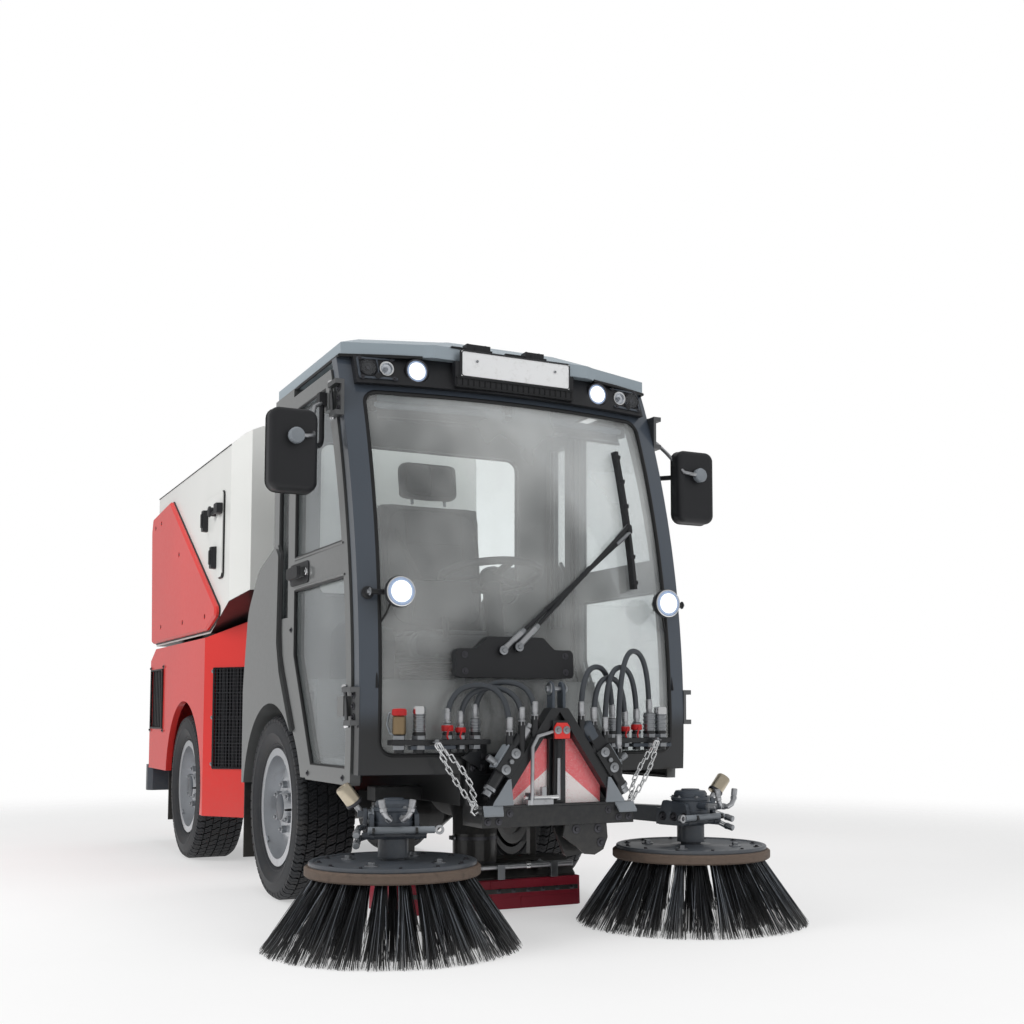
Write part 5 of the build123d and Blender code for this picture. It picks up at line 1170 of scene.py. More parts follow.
class SWEEPER_OT_cab_trim(SweeperOperator, bpy.types.Operator):
    """Door handles, hinge pins, mirror faces, roof clips, wiper fittings and gutters"""

    bl_idname = "sweeper.cab_trim"
    bl_label = "Cab trim"

    def make(self, context):
        self.roof_fittings()
        self.wiper_fittings()
        for word, side in SIDES:
            self.door_fittings(word, side)
            self.mirror_fittings(word, side)
        self.hinges()
        self.blind()

    def roof_fittings(self):
        f = Forge("black_plastic")
        for (p0, p1), (b0, b1) in ROOF_CLIPS:
            f.use("rubber").box(spot(842, (p0 + p1) / 2, 1945), (0.03, (p1 - p0) / 1000, 0.006))
            f.use("black_plastic").box(spot(840, (b0 + b1) / 2, 1952), (0.036, (b1 - b0) / 1000, 0.022))
            f.box(spot(854, (b0 + b1) / 2, 1934), (0.014, 0.03, 0.04))
            f.use("fittings").bolts([spot(840, y, 1962.5) for y in (b0 + 12, b1 - 12)], UP, 0.005)
        for side in (-1, 1):
            gutter = [spot(a, side * y, 1899) for a, y in ((-30, 585), (300, 593), (742, 595), (800, 440), (833, 332))]
            f.use("seal").tube(gutter, 0.006)
        f.use("roof_grey")
        for x in (160, 560):
            f.box(spot(x, 0, 1992), (0.1, 0.62, 0.004))
        f.done("roof_fittings", "front", bevel=0.0015)

    def wiper_fittings(self):
        f = Forge("fittings")
        tip_y, tip_z = 388, 1329.4
        for y, z in ((-150, 900), (-95, 912)):
            start = on_screen(y, z, 34)
            end = on_screen(tip_y, tip_z + (z - 900) * 2, 20)
            way = (end - start).normalized()
            f.use("drawn_steel").tube([start + way * 0.004, start + way * 0.095], 0.0105, 14)
            f.use("fittings").tube([start + way * 0.095, start + way * 0.112], [0.0115, 0.0085], 14)
            f.tube([end - way * 0.075, end], 0.0085, 12)
            f.bolt(facing(on_screen(y, z, 43), AHEAD), 0.008)
            for share in (0.34, 0.62):
                p = start.lerp(end, share)
                f.use("black_plastic").tube([p - way * 0.01, p + way * 0.01], 0.0092, 12)
        f.use("black_plastic").tube([on_screen(tip_y, z, 22) for z in (1330, 1354)], 0.012, 12)
        holes = [on_screen(y, z, 25.5) for z in (832, 885) for y in (-275, 80)]
        f.use("black_bolt").bolts(holes, (1, 0, 0.08), 0.006)
        for z in range(1150, 1611, 92):
            f.use("black_plastic").box(on_screen(tip_y, z, 24), (0.01, 0.019, 0.014))
        rubber = [on_screen(tip_y, 1130 + 50 * k, -4) for k in range(11)]
        f.use("seal").tube(rubber, 0.0045)
        f.done("wiper_fittings", "front", bevel=0.0008)

    def door_fittings(self, word, side):
        f = Forge("black_plastic")
        out = Vector((0, side, 0))
        plate = facing(spot(355, side * 606, 1196), out)
        f.prism(round_plate(0.225, 0.078, 0.02), -0.0005, 0.004, plate)
        handle = facing(spot(357, side * 631, 1197), out)
        f.prism(round_plate(0.15, 0.044, 0.014), -0.004, 0.008, handle, 0.92)
        f.use("chrome").lathe([(0, 0), (0.013, 0), (0.013, 0.006), (0.011, 0.0075), (0.0045, 0.0075), (0.004, 0.004),
                               (0, 0.004)], facing(spot(452, side * 610, 1196), out), 24)
        f.use("taupe_paint")
        for z in (1147, 1252):
            rail = [spot(a, side * 606.5, z) for a in (286, 520, 860 if z < 1200 else 840)]
            f.tube(rail, 0.0042)
        holes = ((250, 1180), (250, 1216), (252, 1600), (252, 1000), (480, 492), (860, 492))
        f.use("black_bolt").bolts([spot(a, side * 606, z) for a, z in holes], out, 0.0055)
        f.done("door_fittings_" + word, "door_" + word, bevel=0.0012)

    def mirror_fittings(self, word, side):
        f = Forge("mirror_face")
        ahead, out, up = MIRROR
        back = facing(spot(ahead - 29.5, side * out, up), BACK)
        f.prism(round_plate(0.136, 0.246, 0.026), 0.0, 0.0022, back)
        f.use("grey_cap").lathe([(0.026, -0.012), (0.026, 0.004), (0.022, 0.009), (0.012, 0.0115), (0, 0.012)],
                                facing(spot(ahead + 52, side * out, up + 40), AHEAD), 28)
        f.use("drawn_steel").tube(spots(MIRROR_ARM, side), 0.0068, 14)
        rim = [*round_plate(0.16, 0.272, 0.034), (0.08, 0.102)]
        f.use("seal").tube([spot(ahead - 26, side * out + y * 1000, up + z * 1000) for y, z in rim], 0.0024)
        f.done("mirror_fittings_" + word, "door_" + word, bevel=0.0006)

    def hinges(self):
        f = Forge("chrome")
        (a0, z0), (a1, z1) = HINGE_LINE
        lean = Vector((a1 - a0, 0, z1 - z0)).normalized()
        for side in (-1, 1):
            for a, z in HINGE_LINE:
                middle = spot(a, side * HINGE_OUT, z)
                for end in (-1, 1):
                    tip = facing(middle + lean * end * 0.0615, lean * end)
                    f.use("chrome").lathe([(0, 0.0), (0.0105, 0.0), (0.0105, 0.004), (0.008, 0.008), (0, 0.009)],
                                          tip, 18)
                holes = [spot(a + 40, side * 610.5, z + dz) for dz in (-34, 0, 34)]
                f.use("black_bolt").bolts(holes, (0, side, 0), 0.0065)
        f.done("hinge_fittings", "front", bevel=0.0006)

    def blind(self):
        """Roller blind behind the top of the screen and its three brackets."""
        f = Forge("grey_cap")
        rod = [on_screen(y, 1738, -62) for y in (-480, -240, 0, 240, 480)]
        f.tube(rod, 0.014, 16)
        f.use("black_plastic")
        for y in (-486, 0, 486):
            f.box(on_screen(y, 1738, -62) + Vector((0, 0, 0.012)), (0.026, 0.03, 0.062))
        f.use("seat_cloth").tube([on_screen(y, 1690, -63) for y in (-470, 0, 470)], 0.006)
        f.done("sun_blind", "front", bevel=0.001)
        across, drops = range(-470, 471, 47), (1726, 1716, 1706, 1696)
        f = Forge("seat_cloth")
        rows = [[on_screen(y, z, -62 + 0.8 * math.sin(y / 31)) for y in across] for z in drops]
        f.add([p for row in rows for p in row], grid_faces(len(drops), len(across)))
        cloth = f.done("sun_blind_cloth", "front")
        width = sum((p - q).length for p, q in zip(rows[0], rows[0][1:]))


# Lamps

VISOR_LAMPS = ((350, 42, "lit"), (452, 26, "small"), (512, 30, "dark"))     # offset, radius, kind
LAMP_Z = 1852
HEADLAMP = (492, 1078, 50)      # offset, height, radius
HEADLAMP_FOOT = 569     # offset of the bracket's foot on the pillar


class SWEEPER_OT_lamps(SweeperOperator, bpy.types.Operator):
    """Roof lamps with bezels and reflectors, headlamps on their brackets, and the box behind the plate"""

    bl_idname = "sweeper.lamps"
    bl_label = "Lamps"

    def make(self, context):
        f = Forge("black_plastic")
        for side in (-1, 1):
            for offset, radius, kind in VISOR_LAMPS:
                self.roof_lamp(f, side * offset, radius / 1000, kind)
            self.lamp_plate(f, side)
            self.headlamp(f, side)
        f.done("lamp_units", "front", ("lamps",), bevel=0.0007)
        self.plate_box()

    def roof_lamp(self, f, y, r, kind):
        base = facing(on_screen(y, LAMP_Z, 22), AHEAD)
        if kind == "lit":
            f.use("black_bolt").lathe([(r - 0.0004, 0.0), (r - 0.0004, 0.016), (r - 0.003, 0.018), (r - 0.006, 0.016),
                                       (r - 0.006, 0.004)], base, 40)
            f.use("lit_rim").lathe([(r - 0.006, 0.006), (r - 0.006, 0.012), (r * 0.7, 0.0142)], base, 40)
            f.use("lit_lamp").lathe([(r * 0.7, 0.0142), (r * 0.6, 0.0155), (r * 0.3, 0.0168), (0, 0.017)], base, 40)
            f.use("black_plastic").lathe([(0, 0.001), (r - 0.0004, 0.001), (r - 0.0004, 0.004)], base, 40)
            return
        face, heart = ("chrome", "fittings") if kind == "small" else ("black_plastic", "black_bolt")
        f.use(face).lathe([(r - 0.0004, 0.0), (r - 0.0004, 0.015), (r - 0.002, 0.0175), (r - 0.005, 0.0165),
                           (r * 0.62, 0.008), (r * 0.3, 0.0045), (0, 0.004)], base, 36)
        f.use(heart).lathe([(0, 0.004), (r * 0.26, 0.005), (r * 0.22, 0.012), (0, 0.014)], base, 18)
        f.use("clear_lens").lathe([(r - 0.004, 0.0155), (r * 0.6, 0.0175), (0, 0.0185)], base, 36)

    def lamp_plate(self, f, side):
        """Grained plate round the two small lamps, with screws and aiming knobs."""
        f.use("dark_grey")
        for y0, y1, z0, z1 in ((420, 545, 1812, 1820), (420, 545, 1886, 1893), (540, 547, 1820, 1886),
                               (478, 482, 1820, 1886)):
            corners = [(y0, z0), (y1, z0), (y1, z1), (y0, z1)]
            f.slab(*([on_screen(side * y, z, proud) for y, z in corners] for proud in (29.5, 35)))
        screws = [on_screen(side * y, z, 34.5) for z in (1889, 1816) for y in (430, 535)]
        f.use("black_bolt").bolts(screws, (1, 0, 0.25), 0.0042)
        f.use("black_plastic").lathe([(0.011, 0), (0.011, 0.008), (0.008, 0.011), (0, 0.0115)],
                                     facing(on_screen(side * 484, 1822, 30), (1, 0, 0.2)), 18)

    def headlamp(self, f, side):
        out, z, r = HEADLAMP
        ahead, wall = screen_ahead(out, z), screen_ahead(HEADLAMP_FOOT, z)
        base = facing(spot(ahead + 22, side * out, z), AHEAD)
        r = r / 1000
        f.use("black_plastic").lathe([(0, 0), (0.028, 0), (0.034, 0.006), (r * 0.92, 0.034), (r, 0.04), (r, 0.052),
                                      (r - 0.003, 0.056), (r - 0.006, 0.054)], base, 44)
        for x, y in circle(10):
            rib = [(q * x, q * y, h) for q, h in ((0.027, 0), (0.036, 0.008), (r * 0.93, 0.036))]
            f.tube(carried(base, *rib), 0.0022)
        f.use("chrome").lathe([(r - 0.003, 0.056), (r - 0.002, 0.058), (r - 0.006, 0.0595), (r - 0.007, 0.052)],
                              base, 44)
        f.use("lit_rim").lathe([(r - 0.006, 0.053), (r * 0.8, 0.0585), (r * 0.68, 0.0605)], base, 44)
        f.use("lit_lamp").lathe([(r * 0.68, 0.0605), (r * 0.4, 0.065), (0, 0.0665)], base, 44)
        f.use("black_plastic").tube(spots([(ahead + 32, out, z), (ahead + 32, HEADLAMP_FOOT + 10, z)], side),
                                    0.0088, 12)
        f.lathe([(0, 0.001), (0.021, 0.001), (0.021, 0.006), (0.013, 0.012), (0.012, 0.04), (0.009, 0.046), (0, 0.047)],
                facing(spot(wall - 2, side * HEADLAMP_FOOT, z), AHEAD), 24)
        f.use("fittings").bolt(facing(spot(ahead + 32, side * (HEADLAMP_FOOT + 9), z), (0, side, 0)), 0.007)
        f.use("seal").tube(spots([
            (ahead + 20, out + 6, z - 10), (ahead + 12, out + 22, z - 60), (wall + 3, out + 50, z - 120),
            (screen_ahead(out + 55, z - 300) + 3, out + 55, z - 300),
        ], side), 0.0035)

    def plate_box(self):
        """Dark grille box under the blank plate, and the plate's frame and screws."""
        f = Forge("black_plastic")
        low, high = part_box("number_plate")
        x, middle = high.x, (low.z + high.z) / 2
        place = facing((x - 0.0055, 0, middle), AHEAD)
        outer, inner = round_plate(0.427, 0.1, 0.012), round_plate(0.411, 0.084, 0.008)
        points = [(px, py, 0.001) for px, py in outer] + [(px, py, 0.0075) for px, py in inner]
        f.add(points, grid_faces(2, len(outer), True), place)
        f.use("fittings").bolts([(x, y, middle + 0.012) for y in (-0.15, 0.15)], AHEAD, 0.0048, False)
        f.use("rubber")
        for k in range(22):
            f.box((x - 0.006, -0.22 + 0.44 * k / 21, low.z - 0.018), (0.006, 0.006, 0.04))
        for z in (-0.004, -0.034):
            f.box((x - 0.006, 0, low.z + z), (0.01, 0.452, 0.006))
        f.done("plate_box", "front", bevel=0.0008)


# Front carrier and hydraulics

CARRIER_FACE = 1200
COUPLERS = {        # offset, radius, height above the rack, head
    "left": ((250, 15, 66, "hose"), (300, 11, 44, "hose"), (345, 13, 52, "hose"), (395, 18, 84, "hose"),
             (440, 18, 84, "can")),
    "right": ((250, 15, 66, "hose"), (300, 11, 44, "hose"), (345, 13, 52, "hose"), (440, 18, 84, "can"),
              (505, 15, 78, "capped")),
}
RACK_AHEAD, RACK_TOP = 1098, 616
CHAIN_LINKS, LINK_HALF, LINK_WIRE = 11, 0.0118, 0.00248


class SWEEPER_OT_carrier(SweeperOperator, bpy.types.Operator):
    """Carrier fittings: red apex bracket, top link ears, gussets, centre rod, latch and foot plates"""

    bl_idname = "sweeper.carrier"
    bl_label = "Front carrier"

    def make(self, context):
        f = Forge("red_paint")
        front = facing(spot(CARRIER_FACE + 10, 0, 0), AHEAD)
        bracket = [(-0.0275, 0.6175), (0.0275, 0.6175), (0.0275, 0.654), (0.018, 0.668), (-0.018, 0.668),
                   (-0.0275, 0.654)]
        f.prism(bracket, 0.0, 0.007, front)
        f.use("fittings").bolts([spot(CARRIER_FACE + 17, y, 645) for y in (-15, 15)], AHEAD, 0.0068)
        f.use("dark_grey")
        for y in (-24, 14):
            ear = [(1154, 713), (1194, 713), (1194, 772), (1185, 794), (1172, 800), (1160, 792), (1154, 772)]
            f.prism(upright(ear), -(y + 10) / 1000, -y / 1000, Matrix.Rotation(math.pi / 2, 4, "X"))
        f.use("fittings").tube(spots([(1174, -34, 776), (1174, 34, 776)]), 0.008, 14)
        for side in (1, -1):
            f.bolt(facing(spot(1174, side * 24.5, 776), (0, side, 0)), 0.011)
        f.use("drawn_steel").tube(spots([(1188, 0, 424), (1188, 0, 560)]), 0.0078, 16)
        f.use("black_plastic").tube(spots([(1192, 0, 556), (1192, 0, 616)]), 0.012, 16)
        f.use("rubber").tube(spots([(1190, -14, 616), (1194, -15, 560), (1190, -16, 470), (1186, -14, 420)]), 0.006)
        f.use("grey_cap")
        for side in (-1, 1):
            gusset = ((165, 413), (235, 413), (232, 421), (184, 492), (174, 494))
            f.prism([(side * y / 1000, z / 1000) for y, z in gusset], -0.0098, -0.004, front)
            sole = [spot(CARRIER_FACE + a, side * y, z)
                    for a, y, z in ((1, 200, 414), (1, 268, 414), (20, 272, 388), (20, 206, 388))]
            f.slab(sole, [p + Vector((-0.001, 0, -0.008)) for p in sole])
        f.use("frame_steel")
        lobe = [(20, 346), (172, 346), (176, 300), (160, 262), (128, 246), (92, 250), (66, 272), (36, 292), (12, 310)]
        f.prism([(y / 1000, z / 1000) for y, z in lobe], -0.014, -0.004, facing(spot(CARRIER_FACE, 0, 0), AHEAD))
        self.beam_bolts(f)
        self.latch(f)
        f.use("drawn_steel").tube(spots([(1207, -28, 640), (1213, -84, 626), (1214, -104, 592), (1213, -105, 440),
                                         (1206, -105, 413)]), 0.006, 12)
        f.done("carrier_fittings", "front", bevel=0.0012)

    def beam_bolts(self, f):
        f.use("black_bolt")
        for side in (-1, 1):
            f.bolts([spot(CARRIER_FACE, side * y, z) for y, z in ((252, 364), (214, 364), (176, 388))], AHEAD, 0.0065)
        f.bolts([spot(CARRIER_FACE - 3.5, y, z) for y, z in ((140, 330), (60, 330), (150, 285))], AHEAD, 0.008)
        f.use("frame_steel").tube(spots([(CARRIER_FACE - 2, -262, 410), (CARRIER_FACE - 2, 262, 410)]), 0.005)

    def latch(self, f):
        """Locking latch of the attachment on the beam, left of the middle."""
        base = Matrix.Translation(spot(CARRIER_FACE - 10, -74, 412))
        f.use("drawn_steel").box((0, 0, 0.008), (0.044, 0.09, 0.016), base)
        f.box((0.002, 0.018, 0.03), (0.018, 0.016, 0.05), base)
        f.use("chrome").tube(carried(base, (0.006, -0.05, 0.022), (0.006, 0.07, 0.022)), 0.0075, 14)
        f.use("dark_grey").box((0.004, -0.03, 0.022), (0.026, 0.02, 0.03), base)


class SWEEPER_OT_hydraulics(SweeperOperator, bpy.types.Operator):
    """Coupling heads, dust caps, valve fittings, solenoids and chains"""

    bl_idname = "sweeper.hydraulics"
    bl_label = "Hydraulics"

    def make(self, context):
        for word, side in SIDES:
            f = Forge("fittings")
            for number, (out, radius, height, head) in enumerate(COUPLERS[word]):
                self.coupler(f, spot(RACK_AHEAD, side * out, RACK_TOP), radius / 1000, height / 1000, head, number)
            self.valve(f, side)
            self.chain(f, side)
            self.rack_bolts(f, side)
            f.done("hydraulic_fittings_" + word, "front", bevel=0.0007)

    def coupler(self, f, foot, r, h, head, number):
        up = facing(foot, UP)
        f.use("fittings")
        for low, high in ((0.0005, 0.013), (-0.03, -0.017)):
            f.prism(circle(6, r + 0.005), low, high, up)
        rings = [(r + 0.0006, 0.024)]
        for k in range(4):
            z = 0.024 + (h - 0.03) * (k + 0.3) / 4
            rings += [(r + 0.0006, z), (r + 0.0028, z + 0.0015), (r + 0.0028, z + 0.006), (r + 0.0006, z + 0.0075)]
        f.lathe([*rings, (r + 0.0006, h - 0.002)], up, 28)
        if head == "can":
            f.use("chrome").lathe([(r + 0.001, h - 0.004), (r + 0.004, h - 0.004), (r + 0.004, h + 0.016),
                                   (r + 0.001, h + 0.02), (0, h + 0.021)], up, 30)
            return
        if head == "capped":
            f.use("bronze").lathe([(r + 0.003, 0.016), (r + 0.006, 0.019), (r + 0.006, h - 0.008),
                                   (r + 0.003, h - 0.004)], up, 30)
            f.use("red_cap").lathe([(r + 0.002, h - 0.004), (r + 0.008, h - 0.002), (r + 0.008, h + 0.012),
                                    (r + 0.004, h + 0.018), (0, h + 0.019)], up, 30)
            loop = carried(up, (0.004, -r - 0.006, h + 0.01), (0.016, -r - 0.03, h + 0.004),
                           (0.02, -r - 0.038, h - 0.03), (0.014, -r - 0.026, h - 0.058),
                           (0.004, -r - 0.006, h - 0.064))
            f.use("grey_cap").tube(loop, 0.0032)
        if number in (1, 2):
            f.use("red_cap").lathe([(r + 0.0035, h * 0.5), (r + 0.006, h * 0.52), (r + 0.006, h * 0.82),
                                    (r + 0.0035, h * 0.86)], up, 24)
            strap = carried(up, (0, r + 0.006, h * 0.7), (0.01, r + 0.016, h * 0.45), (0.012, r + 0.014, 0.01),
                            (0.006, r + 0.008, 0.002))
            f.tube(strap, 0.0028)

    def valve(self, f, side):
        """Plugs, ports and solenoid on the block that is bolted to the leg."""
        middle = spot(CARRIER_FACE - 20, side * 177, 548)
        down = Vector((0, side * 0.566, -0.8244))
        away = Vector((0, side * 0.8244, 0.566))
        f.use("fittings")
        for share in (-0.03, 0.0, 0.03):
            f.bolt(facing(middle + Vector((0.029, 0, 0)) + down * share, AHEAD), 0.0085, share != 0)
        f.nut_joint(facing(middle + away * 0.028 + down * 0.028 + Vector((0.01, 0, 0)), away), 0.01, 0.04)
        f.lathe([(0.022, 0.0), (0.022, 0.01), (0.016, 0.014), (0.016, 0.03), (0, 0.031)],
                facing(middle + down * 0.098, down), 22)
        if side > 0:
            f.use("black_plastic").box((0, 0, 0), (0.044, 0.07, 0.044),
                                       facing(middle - down * 0.07 + away * 0.004, away, down))
            f.use("dark_grey").lathe([(0.026, 0.0), (0.026, 0.05), (0.02, 0.056), (0, 0.057)],
                                     facing(middle - down * 0.085, -down), 26)
        else:
            f.use("drawn_steel").lathe([(0.017, 0.0), (0.017, 0.034), (0.012, 0.04), (0.012, 0.052), (0, 0.053)],
                                       facing(middle - down * 0.088, -down), 22)
        f.use("grey_cap").prism(round_plate(0.05, 0.084, 0.006), 0.029, 0.033, facing(middle, away, down))

    def chain(self, f, side):
        """Lifting chain: welded links from the rack down to the end of the carrier's beam, and its hook."""
        f.use("chrome")
        top, foot = spot(RACK_AHEAD + 46, side * 398, 604), spot(1165, side * 278, 405)
        for slack in (0.014, -0.03):
            for k in range(CHAIN_LINKS):
                sag = math.sin(math.pi * (k + 0.5) / CHAIN_LINKS) * slack
                p = top.lerp(foot, (k + 0.5) / CHAIN_LINKS) + Vector((abs(sag) * 0.3, side * sag, 0))
                self.link(f, p, (foot - top).normalized(), k % 2)
        hook = ((0.002, 0.01), (0.01, 0), (0.012, -0.012), (0.002, -0.02), (-0.01, -0.014))
        f.tube([foot + Vector((0, side * y, z)) for y, z in hook], 0.0055)
        f.use("fittings").bolt(facing(top + Vector((0, 0, 0.004)), UP), 0.008)

    def link(self, f, place, along, turned):
        across = Vector(AHEAD) if turned else Vector(AHEAD).cross(along).normalized()
        ring = [place + along * (x * 0.0062 + math.copysign(LINK_HALF, x) * 0.62) + across * y * 0.0068
                for x, y in circle(14)]
        f.tube([*ring, ring[0]], LINK_WIRE)

    def rack_bolts(self, f, side):
        f.use("black_bolt")
        for y in (222, 252):
            f.bolts([spot(1090, side * y, z) for z in (525, 560)], AHEAD, 0.006)
        f.use("frame_steel")
        rib = spots([(RACK_AHEAD + 10, 230, 596), (RACK_AHEAD + 10, 300, 560), (RACK_AHEAD + 2, 232, 520)], side)
        f.slab(rib, [p - Vector((0.008, 0, 0)) for p in rib])
        f.use("dark_grey").box(spot(RACK_AHEAD + 2, side * 398, 592), (0.03, 0.15, 0.012))


class SWEEPER_OT_broom_drives(SweeperOperator, bpy.types.Operator):
    """Drive motor caps, ports, tilt cylinder, pins and brackets on each broom arm"""

    bl_idname = "sweeper.broom_drives"
    bl_label = "Broom drives"

    def make(self, context):
        for word, side in SIDES:
            x, y, _ = JOINTS[f"broom_spin_{word}"]["pos_m"]
            pin = JOINTS[f"broom_swing_{word}"]["pos_m"]
            arm = Vector((x - pin[0], y - pin[1], 0)).normalized()
            place = Matrix((arm, Vector((-arm.y, arm.x, 0)) * side, UP)).transposed().to_4x4()
            place = Matrix.Translation((x, y, 0)) @ place
            f = Forge("dark_grey")
            self.motor(f, place)
            self.tilt(f, place)
            self.bracket(f, place)
            f.done("broom_drive_" + word, "arm_" + word, bevel=0.001)

    def motor(self, f, place):
        """Local X runs along the arm, Y to the outside, Z up; heights are from the ground."""
        f.use("dark_grey").lathe([(0.0625, 0.345), (0.0655, 0.347), (0.0655, 0.372), (0.0628, 0.375), (0.0628, 0.404),
                                  (0.066, 0.406), (0.066, 0.414), (0.058, 0.4165)], place, 48)
        f.lathe([(0.0565, 0.4265), (0.05, 0.4365), (0.032, 0.4375), (0.03, 0.4425), (0, 0.4435)], place, 40)
        f.use("fittings")
        for x, y in circle(6, 0.0595, 30):
            f.bolt(place @ Matrix.Translation((x, y, 0.4145)), 0.0055)
        f.use("grey_cap").lathe([(0, 0), (0.022, 0), (0.022, 0.004), (0.012, 0.006), (0.012, 0.016), (0, 0.018)],
                                within(place, (0.012, 0.0625, 0.392), (0.15, 1, 0)), 24)
        f.use("drawn_steel")
        for y in (-0.022, 0.022):
            f.nut_joint(within(place, (0.09, y, 0.388), (1, 0, 0)), 0.0095, 0.042)
            elbow = carried(place, (0.13, y, 0.388), (0.144, y, 0.389), (0.152, y * 1.4, 0.397),
                            (0.153, y * 1.8, 0.412))
            f.tube(elbow, 0.0085, 12)
            f.nut_joint(facing(elbow[-1], place.to_3x3() @ Vector((0, y * 8, 1))), 0.009, 0.036)

    def tilt(self, f, place):
        """Short gas spring on the outer side, with its clevis, and the silver joints below it."""
        turn = place.to_3x3()
        low, high = place @ Vector((0.006, 0.098, 0.402)), place @ Vector((0.022, 0.15, 0.472))
        way = (high - low).normalized()
        f.use("drawn_steel").tube([low, low + way * 0.03], 0.009, 14)
        f.use("champagne").lathe([(0.011, 0.0), (0.024, 0.004), (0.024, 0.066), (0.021, 0.071), (0.012, 0.072),
                                  (0.01, 0.068), (0, 0.068)], facing(low + way * 0.026, way), 30)
        f.use("black_bolt").lathe([(0.025, 0.004), (0.0262, 0.006), (0.0262, 0.013), (0.025, 0.015)],
                                  facing(low + way * 0.026, way), 30)
        f.use("dark_grey").box((0.006, 0.086, 0.385), (0.036, 0.012, 0.056), place)
        f.box((0.006, 0.098, 0.398), (0.03, 0.02, 0.018), place)
        for k, z in enumerate((0.36, 0.33)):
            joint = carried(place, (0.01, 0.08, z), (0.03 + 0.01 * k, 0.104, z - 0.004), (0.062, 0.112, z - 0.014))
            f.use("chrome").tube(joint, 0.0095, 14)
            f.use("fittings").nut_joint(facing(joint[-1], turn @ Vector((1, 0.1, -0.25))), 0.0095, 0.03)

    def bracket(self, f, place):
        f.use("black_bolt")
        for x in (-0.06, -0.01, 0.036):
            for y, way in ((0.0745, 1), (-0.0745, -1)):
                f.bolt(within(place, (x, y, 0.352), (0, way, 0)), 0.008)
        f.use("grey_cap").tube(carried(place, (0.074, -0.118, 0.352), (0.074, 0.08, 0.352)), 0.0105, 16)
        f.use("drawn_steel").lathe([(0.007, -0.006), (0.014, -0.006), (0.014, 0.006), (0.007, 0.006), (0.007, -0.006)],
                                   within(place, (0.074, -0.132, 0.352), (1, 0, 0)), 24)
        f.use("frame_steel")
        for y in (-0.064, 0.064):
            web = [(0.028, 0.33), (0.092, 0.346), (0.086, 0.36), (0.04, 0.362)]
            f.slab(*([place @ Vector((x, y + half, z)) for x, z in web] for half in (-0.004, 0.004)))
        f.use("fittings").bolt(place @ Matrix.Translation((-0.075, 0.0, 0.3785)), 0.01)


# Hopper and rear unit

HATCH_LATCHES = ((-1180, 1590), (-1000, 1400))
HATCH_KNOB = (-1010, 1610)
SHIELD_BOLTS = ((-2385, 1710), (-2225, 1716), (-1745, 1495), (-2185, 1156), (-1630, 1145), (-1135, 1142))
TAIL_LAMPS = ((880, 40), (780, 40), (690, 34))      # height, radius
NOSE = ((-1120, 610), (-900, 450))      # slanted front corner of the engine unit: ahead, out
MESH_WIRE = 0.0013      # radius


